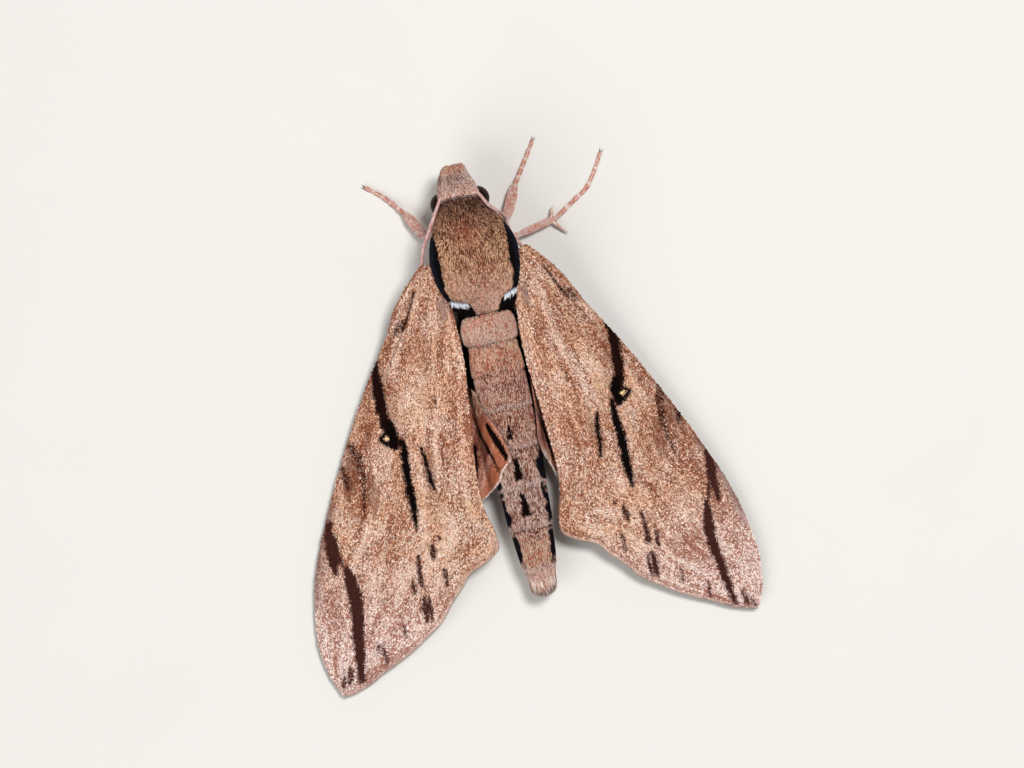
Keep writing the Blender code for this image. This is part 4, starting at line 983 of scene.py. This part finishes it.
def wingRelief(s, t, v):
    relief = 0
    for line in forewing["veins"].values():
        drawn = through(line, 24)
        far, at = nearestOn(drawn, s, t)
        fade = ramp(23 - at, 0, 3) * ramp(at, -1, 1)
        relief = np.maximum(relief, forewing["veinHeight"] * np.exp(-(far / forewing["veinWidth"]) ** 2) * fade)
    far, _ = nearestOn(through([(5.2, -0.7), (9.7, -1.3), (16, -2.5)], 20), s, t)
    folds = 0.1 * (layered(s / 7, v / 1.1, 41) - 0.5)
    return relief + folds - 0.1 * np.exp(-(far / 0.12) ** 2)


def forewingSheet(side):
    length = forewing["length"][side]
    s = np.r_[np.linspace(0.9, 9, 46)[:-1], np.linspace(9, length - 0.35, forewing["rows"] - 45)]
    front = frontEdge(side, s) + 0.2 * ramp(s, 0, 3)
    back = backEdge(side, s) + 0.15 * ramp(s, 9, 12) * (1 - ramp(s, 32, 36)) - 0.1
    for i, here in enumerate(s):  # stop under the side of the thorax
        if here < 12:
            ts = np.linspace(front[i], back[i], 300)
            x, y = wingToBody(side, here, ts)
            hidden = np.nonzero(x < thoraxEdge(np.maximum(y, -8.3)) - 1.25)[0]
            if len(hidden):
                back[i] = ts[max(hidden[0], 3)]
    share = np.linspace(0, 1, forewing["cols"])
    t = front[:, None] + (back - front)[:, None] * share[None]
    s = s[:, None] + 0 * t
    v = 14 * (t - frontEdge(side, s)) / (backEdge(side, s) - frontEdge(side, s))
    x, y = wingToBody(side, s, t)
    z = wingHeight(side, s, t) + wingRelief(s, t, v) - forewing["depth"]
    return makeSheet(np.stack([x, y, z], axis=-1), np.stack([s, t, v], axis=-1), -1)


def wingPaint(side, s, t, v, grain, other, crisp):
    seed = forewing["noiseSeed"][side]
    streak = layered(s / 6 + 20, v / 0.75 + 20, seed)
    blot = layered(s / 2.6 + 60, v / 1.5 + 60, seed + 1)
    small = noise(s / 0.9 + 90, v / 0.5 + 90, seed + 2)
    rusty = 0.5 + 0.95 * (streak - 0.5) + 0.4 * (blot - 0.5) + 0.15 * (small - 0.5)
    rusty = rusty + 0.12 * bump(s, 24, 4) * ramp(v, 8, 10.5) + 0.12 * bump(s, 30, 5) * (1 - ramp(v, 3, 6))
    rusty = rusty - forewing["paler"][side] * ramp(v, 6, 9) * bump(s, 31, 5.5)
    rusty = rusty - 0.22 * bump(s, 20, 6) * bump(v, 7.5, 2.5) - 0.2 * bump(s, 40, 5) * ramp(v, 8, 10)
    pale = washed(wingTone["tan"], wingTone, [
        ("cream", ramp(other, 0.2, 0.9)), ("gold", 0.5 * (1 - ramp(s, 34, 50)) * ramp(blot, 0.35, 0.7)),
        ("pinkCream", 0.8 * ramp(s, 38, 54))])
    warm = washed(wingTone["rust"], wingTone, [
        ("brown", ramp(other + 0.9 * (streak - 0.5), 0.4, 0.95)), ("pinkRust", 0.7 * ramp(s, 38, 54))])
    fromFront = t - frontEdge(side, s)
    colour = washed(mixed(warm, pale, ramp(grain - rusty + 0.5, 0.5 - crisp, 0.5 + crisp)), wingTone, [
        ("costal", 0.6 * (1 - ramp(fromFront, 0.5, 1.6)) * ramp(s, 32, 36) * (1 - ramp(s, 46, 50))),
        ("brown", 0.35 * (1 - ramp(fromFront, 0.15, 0.7)) * (1 - ramp(s, 40, 50)))])
    # the drawn marks: where each lies on this wing, then its rusty fringe, then its own scales
    outer = 1 - ramp(t, 3, 4.5)
    drift = forewing["spotDrift"][side] * bump(s, 23.6, 2.6) * (1 - ramp(t, 0.9, 1.5))
    drift = drift + forewing["barDrift"][side] * ramp(s, 35.5, 37.5) * outer * (1 - 0.3 * ramp(s, 50, 56))
    bold = 1 + forewing["bolder"][side] * ramp(s, 36, 40) * outer
    beyond = []  # how far each scale lies outside each mark
    for points, strength, tone in wingMarks:
        line = np.array(points)
        far, at = nearestOn(line, s, t + drift)
        halfWidth = np.interp(at, np.arange(len(line)), line[:, 2])
        if len(line) == 2:  # short dashes run out to points
            halfWidth = halfWidth * (1.15 - 0.7 * (2 * at - 1) ** 2)
        ragged = 0.3 * (small - 0.5) + 0.3 * (grain - 0.5)
        beyond.append(far + ragged * np.minimum(halfWidth * 2.5, 1) - halfWidth * bold)
        under = wingTone["brown" if tone == "brown" else "umber"]
        colour = mixed(colour, under, 0.8 * strength * (1 - ramp(beyond[-1], -0.1, 0.35)))
    for (_, strength, tone), outside in zip(wingMarks, beyond):
        if tone != "brown":  # a weak mark takes only some of the scales
            cover = (1 - ramp(outside, -0.12, 0.12)) * ramp(1.3 * strength - other, 0, 0.3)
            colour = mixed(colour, wingTone[tone], cover)
    rim = backEdge(side, s) - t
    outer = ramp(s, 33, 36)
    return washed(colour, wingTone, [
        ("amber", 1 - ramp(np.hypot(s - 24.2, (t + drift + 0.25) * 0.8), 0.16, 0.32)),
        ("fringe", 0.6 * (1 - ramp(rim, 0.05, 0.25)) * outer),
        ("fringeShade", 0.5 * bump(rim, 0.45, 0.2) * (0.3 + 0.7 * outer))])


def membrane(sheet, thickness):  # a sheet's points with their copies below, and the faces
    rows, cols = sheet["points"].shape[:2]
    under = sheet["points"] - sheet["up"] * thickness
    return np.concatenate([sheet["points"].reshape(-1, 3), under.reshape(-1, 3)]), shellFaces(rows, cols)


def buildForewings():
    for side, sign in sides.items():
        draw = np.random.default_rng(forewing["drawSeed"][side])
        sheet = forewingSheet(side)
        flat = sheet["params"].reshape(-1, 3)
        spot = np.arange(len(flat))
        # painted shade: the membrane takes the scales' paint at 0.72
        paint = 0.72 * wingPaint(side, *flat.T, hashed(spot, spot * 7, 5), hashed(spot, spot * 3, 15), 0.35)
        points, faces = membrane(sheet, forewing["thickness"])
        addMesh("forewing_membrane_" + side, points, faces[:, ::-1],
                np.concatenate([paint, mixed(paint, wingTone["under"], 0.6)]), wingMembrane, ["forewing_" + side], sign)
        along = sheet["params"][..., 0]
        count = forewing["flakes"]
        for part, inside in (("base", along < forewing["split"]), ("outer", along >= forewing["split"])):
            spots = turned(scatter(sheet, count, draw, inside.astype(float)), draw.normal(0, 14, count))
            colour = wingPaint(side, *spots["params"].T, draw.random(count), draw.random(count), 0.12)
            # each scale lighter or darker at random: partly its own tone, partly painted glints of scales catching the
            # light
            colour = colour * draw.uniform(0.68, 1.34, count)[:, None]
            size = draw.uniform(0.85, 1.2, count)
            spots["root"] = spots["root"] + spots["up"] * 0.01
            # painted shade: each scale's root a little darker than its tip
            addLocks("forewing_scales_%s_%s" % (side, part), spots,
                     (forewing["flakeLength"] * size, forewing["flakeWidth"] * size, 0.03,
                      draw.uniform(0.03, 0.09, count)), colour * 0.96, colour, wingScale, "flake", sign, smooth=False)
        buildFringe(side, sign, draw)
    print("forewings made")


def buildFringe(side, sign, draw):  # hair scales along the outer and inner margins
    length = forewing["length"][side]
    s = np.r_[np.linspace(9, 35, 900), np.linspace(35, length - 0.3, 1500)]
    count = len(s)
    s = s + draw.uniform(-0.015, 0.015, count)
    t = backEdge(side, s) - 0.2
    slope = (backEdge(side, s + 0.05) - backEdge(side, s - 0.05)) / 0.1
    steep = np.hypot(slope, 1)
    x, y = wingToBody(side, s, t)
    x2, y2 = wingToBody(side, s - slope / steep, t + 1 / steep)
    z = wingHeight(side, s, t) - forewing["depth"] - 0.05
    spots = {"root": np.column_stack([x, y, z]), "lie": unit(np.column_stack([x2 - x, y2 - y, -0.04 + 0 * x])),
             "up": np.tile([0, 0, 1], (count, 1)),
             "place": np.column_stack([(s - 0.9) / length, np.full(count, 0.99)])}
    spots = turned(spots, draw.normal(-14, 9, count))
    outer = ramp(s, 33, 36)
    root = wingPaint(side, s, t - 0.6, np.full(count, 13.9), draw.random(count), draw.random(count), 0.1)
    tips = mixed(root, wingTone["fringe"], 0.25 + 0.55 * outer)
    # painted shade: the fringe's roots a little darker, under the wing's edge
    addLocks("forewing_fringe_" + side, spots,
             ((0.34 + 0.14 * outer) * draw.uniform(0.75, 1.2, count), 0.11, 0.04, 0.02),
             root * 0.9, tips, wingScale, "lock", sign, sag=0.05)


# Hindwings, folded under the forewings; drawn on the right in the body's frame
hindwing = {
    "drop": 1.75, "drapeFall": 6,
    "costa": [(7.3, -5.8), (8.7, -10), (11.4, -16), (14.8, -23), (18.2, -30), (20.4, -36), (21.6, -40.4)],
    "outer": [(21, -42.6), (18.6, -43.2), (15.4, -41.6), (12.2, -39.6), (9.2, -37), (6.9, -35.4)],
    "fold": {"right": [(5.6, -33.6), (4.6, -31), (4, -28.9), (3.5, -26.6), (3.8, -24), (4.05, -20),
                       (4.1, -13), (4.4, -10)],
             "left": [(5.65, -34.2), (5.2, -32.9), (4, -32.1), (2.55, -30.8), (1.7, -29.4), (0.62, -28.3),
                      (0.62, -26.9), (1.08, -25.3), (1.75, -23.4), (2.6, -21.9), (3.5, -20), (4, -17.5),
                      (4.1, -14), (4.4, -10)]},
    "lift": 0.12, "thickness": 0.2, "rows": 170, "cols": 70, "flakes": 9000,
    "lines": {"right": [([(3.9, -22, 0.12), (4.5, -25, 0.16), (4.9, -29, 0.2)], 0.35)],
              "left": [([(2.9, -22.9, 0.25), (2.05, -25.1, 0.5), (1.1, -27.7, 0.34)], 0.15),
                       ([(4.45, -21.3, 0.1), (3.9, -24.2, 0.15), (3.05, -27, 0.2), (2, -30.1, 0.14)], 0.35),
                       ([(5.03, -25.4, 0.3), (5.5, -29.4, 0.35)], 0.2)]},  # dark lines: points, then their depth
    "dark": "#6A3226", "mid": "#A2604A", "light": "#E0B09C", "edge": "#F0DACE", "stripe": "#0E0504",
    "orange": "#C4704A", "shaded": "#0D0706", "soft": "#D0A090", "drawSeed": {"right": 303, "left": 404},
}


def hindwingHeight(side, x, y):  # under the forewing, and up over the flank of the abdomen
    sign = sides[side]
    s, t = bodyToWing(side, np.maximum(x, 4.9), y)
    folded = wingHeight(side, s, t) - hindwing["drop"]
    halfWidth, level, halfHeight, middle = bodySize(np.minimum(y, thoraxBack - 3))
    room = 0.3 + 0.1 + 0.12
    beside = np.abs(x - sign * middle) - halfWidth - room
    reach = np.clip(1 + beside / (halfWidth + room), 0, 1)
    onTop = level + (halfHeight + room) * (1 - reach ** body["squareness"]) ** (1 / body["squareness"])
    draped = np.where(beside >= 0, level - hindwing["drapeFall"] * beside, onTop)
    gap = draped - folded
    return folded + 0.5 * (gap + np.sqrt(gap * gap + 0.05))


def hindwingSheet(side):
    ys = np.linspace(-6.9, -42.95, hindwing["rows"])
    outer = [(y, x) for x, y in hindwing["costa"] + [(21, -42.6), (19.4, -43.1)]]
    inner = [(y, x) for x, y in hindwing["fold"][side] + hindwing["outer"][2:][::-1] + [(18.8, -43.1)]]
    inner = [row for row in inner if row[0] < -9.9] + [(-6.6, 5)]
    left = curve(inner, ys) + 0.1
    right = curve(outer, ys) - 0.1
    x = left[:, None] + (right - left)[:, None] * (np.linspace(0, 1, hindwing["cols"]) ** 1.3)[None]
    y = ys[:, None] + 0 * x
    z = hindwingHeight(side, x, y) + hindwing["lift"]
    for points, depth in hindwing["lines"][side]:  # the folds lie in grooves between rounded pleats
        line = np.array(points)
        far, at = nearestOn(line, x, y)
        z = z - depth * np.exp(-(far / (1.3 * np.interp(at, np.arange(len(line)), line[:, 2]))) ** 2)
    return makeSheet(np.stack([x, y, z], axis=-1), np.stack([x, y, x - left[:, None]], axis=-1), 1)


def hindwingPaint(side, x, y, fromEdge, grain):
    left = side == "left"
    along = x + 0.42 * (y + 20) * left  # streaks run with the pleats
    tone = 0.5 * grain + 1.6 * (layered(along / 0.4 + 50, y / 5, 72) - 0.5) + 0.25
    colour = washed(mixed(hindwing["dark"], hindwing["mid"], ramp(tone, 0.1, 0.5)), hindwing, [
        ("light", 0.6 * ramp(tone, 0.5, 0.85)),
        ("orange", 0.5 * left * ramp(-y, 21, 23) * (1 - ramp(fromEdge, 1.9, 2.3))),
        ("shaded", 1 - ramp(-y, 17.5, 20.5))])
    for points, _ in hindwing["lines"][side]:
        line = np.array(points)
        far, at = nearestOn(line, x, y)
        halfWidth = np.interp(at, np.arange(len(line)), line[:, 2])
        colour = mixed(colour, hindwing["stripe"], 1 - ramp(far, halfWidth * 0.75, halfWidth * 1.25))
    rim = (1 - ramp(fromEdge, 0.1, 0.35)) * ramp(-y, 20, 23)
    return washed(colour, hindwing, [("soft", 0.6 * rim * (0.3 + 0.7 * grain)),
                                     ("edge", 0.8 * rim * ramp(-y, 27, 28.5))])


def buildHindwings():
    for side, sign in sides.items():
        draw = np.random.default_rng(hindwing["drawSeed"][side])
        sheet = hindwingSheet(side)
        flat = sheet["params"].reshape(-1, 3)
        spot = np.arange(len(flat))
        # painted shade: the membrane takes the scales' paint at 0.8
        paint = 0.8 * hindwingPaint(side, *flat.T, hashed(spot, spot * 5, 25))
        points, faces = membrane(sheet, hindwing["thickness"])
        addMesh("hindwing_membrane_" + side, points, faces, np.concatenate([paint, paint]),
                wingMembrane, ["hindwing_" + side], sign)
        count = hindwing["flakes"]
        weight = 0.25 + 0.75 * (1 - ramp(sheet["params"][..., 2], 2.5, 5))  # dense where it shows
        spots = turned(scatter(sheet, count, draw, weight), draw.normal(0, 12, count))
        colour = hindwingPaint(side, *spots["params"].T, draw.random(count))
        size = draw.uniform(0.85, 1.2, count)
        # painted shade: each scale's root a little darker than its tip
        addLocks("hindwing_scales_" + side, spots, (0.42 * size, 0.19 * size, 0.03, 0.06),
                 colour * 0.95, colour, wingScale, "flake", sign, smooth=False)
    print("hindwings made")


# Tufts behind the thorax and the brush at the end of the abdomen
tuft = {  # root and tip colours
    "black": ("#080506", "#141012"), "white": ("#D2DAEA", "#FBFCFF"), "violet": ("#A07468", "#D4AC9E"),
    "fold": ("#B88A6C", "#F0D4B0"), "drawSeed": {"right": 505, "left": 606}, "foldSeed": 808,
    "blackCount": 420, "whiteCount": 44, "rootCount": 70, "shadowHairCount": 900, "foldCount": 260,
    "whiteFrom": {"right": 58, "left": 68}, "whiteTo": {"right": 37, "left": 40},  # angles round the body
}


def placed(stations, degrees, grow):  # spots on the body's surface, lying backwards
    points = bodyPoint(stations, degrees, grow)
    ahead = bodyPoint(stations - 0.2, degrees, grow) - points
    sideways = bodyPoint(stations, degrees + 2, grow) - points
    up = unit(np.cross(-ahead, sideways))
    place = np.column_stack([(10 - stations) / 55, degrees / 360])
    return {"root": points, "up": up, "lie": unit(ahead), "place": place}


def addTuft(name, spots, size, tone, sign, nodes=()):
    root, tip = (solid(colour, len(spots["root"])) for colour in tuft[tone])
    addLocks(name, spots, size, root, tip, hairScale, "longLock", sign, nodes)


def buildTufts():
    for side, sign in sides.items():
        draw = np.random.default_rng(tuft["drawSeed"][side])
        first = tuft["whiteFrom"][side]
        count = tuft["blackCount"]
        share = draw.random(count)
        spots = placed(-6.2 - 0.8 * (1 - share) - draw.uniform(0, 0.9, count), first - 32 * share, -0.1)
        spots["lie"] = unit(0.45 * spots["lie"] + np.array([0, -1, -0.3]))  # straight back, over the hollow: the moth's own black hair, also standing in as painted shadow there
        spots = turned(spots, draw.normal(0, 10, count))
        size = (draw.uniform(1, 2.2, count) * (0.6 + 0.4 * share), 0.2, 0.08, draw.uniform(0.2, 0.5, count))
        addTuft("black_tuft_and_shadow_" + side, spots, size, "black", sign, ["tuft_" + side])
        count = tuft["whiteCount"]  # white tips in a row along its front
        share = np.linspace(0, 1, count) + draw.uniform(-0.01, 0.01, count)
        degrees = first * (1 - share) + tuft["whiteTo"][side] * share
        stations = -5.85 - 0.026 * (degrees - 32) - draw.uniform(0, 0.15, count)
        spots = turned(placed(stations, degrees, 0.2), draw.normal(8, 10, count))
        size = (draw.uniform(0.35, 1.15, count), 0.12, 0.06, draw.uniform(0.35, 0.55, count))
        addTuft("white_tips_" + side, spots, size, "white", sign)
        count = tuft["rootCount"]  # the hair over the wing's root
        back = draw.random(count)
        x = 5.5 + (draw.random(count) - 0.5) * (1.1 - 0.9 * back)
        y = -5.3 - 2.2 * back
        spots = {"root": np.column_stack([x, y, wingHeight(side, *bodyToWing(side, x, y))]),
                 "up": np.tile([0, 0, 1], (count, 1)), "lie": unit(np.tile([0.05, -1, -0.12], (count, 1))),
                 "place": np.column_stack([0.4 + 0 * x, x / 10])}
        spots = turned(spots, draw.normal(0, 10, count))
        size = (draw.uniform(0.9, 1.6, count), 0.1, 0.05, 0.14)
        addTuft("wing_root_hair_" + side, spots, size, "violet", sign)
        count = tuft["shadowHairCount"]  # painted shadow: dark hair that closes the hollow between abdomen and wing, where there is only shade
        stations = draw.uniform(-21.5, -7.6, count)
        spots = placed(stations, draw.uniform(-34, -8, count), -0.15)
        spots["lie"] = unit(spots["lie"] * draw.uniform(0.5, 1.2, count)[:, None] + np.array([1, 0, -0.1]))
        size = (draw.uniform(1, 1.7, count), 0.28, 0.06, 0.1)
        addTuft("shadow_hair_" + side, spots, size, "black", sign)
    draw = np.random.default_rng(tuft["foldSeed"])
    count = tuft["foldCount"]  # pale hair over the front of the left fold
    y = draw.uniform(-21.4, -18, count)
    edge = curve([(b, a) for a, b in hindwing["fold"]["left"]], y)
    x = edge + draw.uniform(0.1, 0.9, count) * ramp(-y, 17.5, 20)
    spots = {"root": np.column_stack([x, y, hindwingHeight("left", x, y) + hindwing["lift"]]),
             "up": unit(np.tile([-0.3, 0, 1], (count, 1))), "lie": unit(np.tile([-0.5, -1, -0.1], (count, 1))),
             "place": np.column_stack([-y / 50, 0.1 + 0 * y])}
    spots = turned(spots, draw.normal(0, 9, count))
    size = (draw.uniform(1, 2, count), 0.12, 0.05, 0.15)
    addTuft("fold_hair_left", spots, size, "fold", -1)
    print("tufts made")


tail = {"seed": 707, "count": 1500, "end": 47.3, "root": ("#7E3E2A", "#D8A88E"), "tip": ("#C08468", "#F8ECE4")}


def buildTail():
    draw = np.random.default_rng(tail["seed"])
    count = tail["count"]
    degrees = draw.uniform(0, 360, count)
    stations = draw.uniform(-44.5, -42.3, count)
    spots = placed(stations, degrees, -0.35)
    outwards = np.column_stack([np.cos(np.radians(degrees)), 0 * degrees, 0.3 * np.sin(np.radians(degrees))])
    inner = draw.random(count) ** 0.5  # some hairs stand inside the brush and fill it
    inner = np.where(draw.random(count) < 0.6, 1, inner)[:, None]
    _, level, _, middle = bodySize(stations)
    centre = np.column_stack([middle, stations, level])
    spots["root"] = centre + (spots["root"] - centre) * inner
    spots["lie"] = unit(unit(spots["lie"] + 0.16 * outwards) * inner + np.array([0, -1, 0]) * (1 - inner))
    spots = turned(spots, draw.normal(0, 6, count))
    reach = (stations + tail["end"] - 0.5 * (spots["root"][:, 0] - middle) ** 2 / 3) * draw.uniform(0.84, 1, count)
    grain = draw.random(count)
    addLocks("tail_brush", spots, (reach, 0.2, 0.08, 0.15),
             mixed(*tail["root"], ramp(grain, 0.3, 0.8)), mixed(*tail["tip"], ramp(grain, 0.2, 0.7)),
             hairScale, "longLock", nodes=["tail_tuft"])
    print("tail brush made")


# Floor, light and camera
studio = {
    "floorColour": "#E4E1DB", "floorSize": 1.2, "floorLevel": -0.00002,
    "viewCentre": (1.53, -18.5), "viewHeight": 605, "viewWidth": 136.2, "wingLevel": 5,
    "imageUp": (0.199, 0.98), "sensor": 36,
    "keyAngle": 42, "keyHeight": 0.62, "keyReach": 0.2, "keySize": 0.14, "keyPower": 3.1,
    "fillPlace": (-0.45, -0.35, 0.55), "fillPower": 3.3, "fillSize": 0.7, "worldLight": 0.24,
}


def buildFloor():
    material, tree, shader = newMaterial("matt_paper_floor", {"Roughness": 0.85})
    place = addNode(tree, "TexCoord")
    mottle = addNode(tree, "TexNoise", {"Scale": 60, "Detail": 4}, {"Vector": place.outputs["Object"]})
    tone = addNode(tree, "ValToRGB", {}, {"Fac": mottle.outputs["Fac"]})
    for stop, light in zip(tone.color_ramp.elements, (0.97, 1)):
        stop.color = (*(linear(studio["floorColour"]) * light), 1)
    tree.links.new(tone.outputs["Color"], shader.inputs["Base Color"])
    half = studio["floorSize"] / 2
    low = studio["floorLevel"]
    mesh = bpy.data.meshes.new("floor")
    mesh.from_pydata([(-half, -half, low), (half, -half, low), (half, half, low), (-half, half, low)],
                     [], [(0, 1, 2, 3)])
    mesh.materials.append(material)
    inScene("floor", mesh)


def aimedLight(name, power, size, place, target):
    data = bpy.data.lights.new(name, "AREA")
    data.energy = power
    data.size = size
    heading = unit(np.array(target) - np.array(place))
    side = unit(np.cross(heading, (0, 0, 1)))
    axes = np.column_stack([side, np.cross(side, heading), -heading, place])
    inScene(name, data).matrix_world = Matrix([*axes.tolist(), (0, 0, 0, 1)])


def buildStudio():
    buildFloor()
    centre = (np.array([*studio["viewCentre"], 0]) + origin) * mm
    upX, upY = studio["imageUp"]
    angle = math.radians(studio["keyAngle"])  # turned from the image's up towards its right
    towards = np.array([upX * math.cos(angle) + upY * math.sin(angle), upY * math.cos(angle) - upX * math.sin(angle)])
    key = centre + np.array([*(towards * studio["keyReach"]), studio["keyHeight"]])
    aimedLight("key", studio["keyPower"], studio["keySize"], key, centre)
    aimedLight("fill", studio["fillPower"], studio["fillSize"], centre + np.array(studio["fillPlace"]), centre)
    world = bpy.data.worlds.new("soft_room")
    bpy.context.scene.world = world
    world.use_nodes = True
    background = world.node_tree.nodes["Background"]
    background.inputs["Color"].default_value = (*linear("#F2F4F8"), 1)
    background.inputs["Strength"].default_value = studio["worldLight"]
    data = bpy.data.cameras.new("camera")
    data.sensor_width = studio["sensor"]
    data.lens = studio["sensor"] * (studio["viewHeight"] - studio["wingLevel"]) / studio["viewWidth"]
    data.clip_start = 0.01
    camera = inScene("camera", data)
    camera.matrix_world = Matrix([(upY, upX, 0, centre[0]), (-upX, upY, 0, centre[1]),
                                  (0, 0, 1, studio["viewHeight"] * mm), (0, 0, 0, 1)])
    bpy.context.scene.camera = camera
    bpy.context.scene.view_settings.view_transform = "Standard"  # colours come out as they were chosen
    print("floor, light and camera made")


for build in (buildStudio, buildForewings, buildHindwings, buildBody, buildEyes, buildPalps, buildTongue,
              buildAntennae, buildLegs, buildTufts, buildTail):
    build()
print("triangles:", sum(triangleCount.values()), "largest:", max(triangleCount, key=triangleCount.get),
      max(triangleCount.values()))
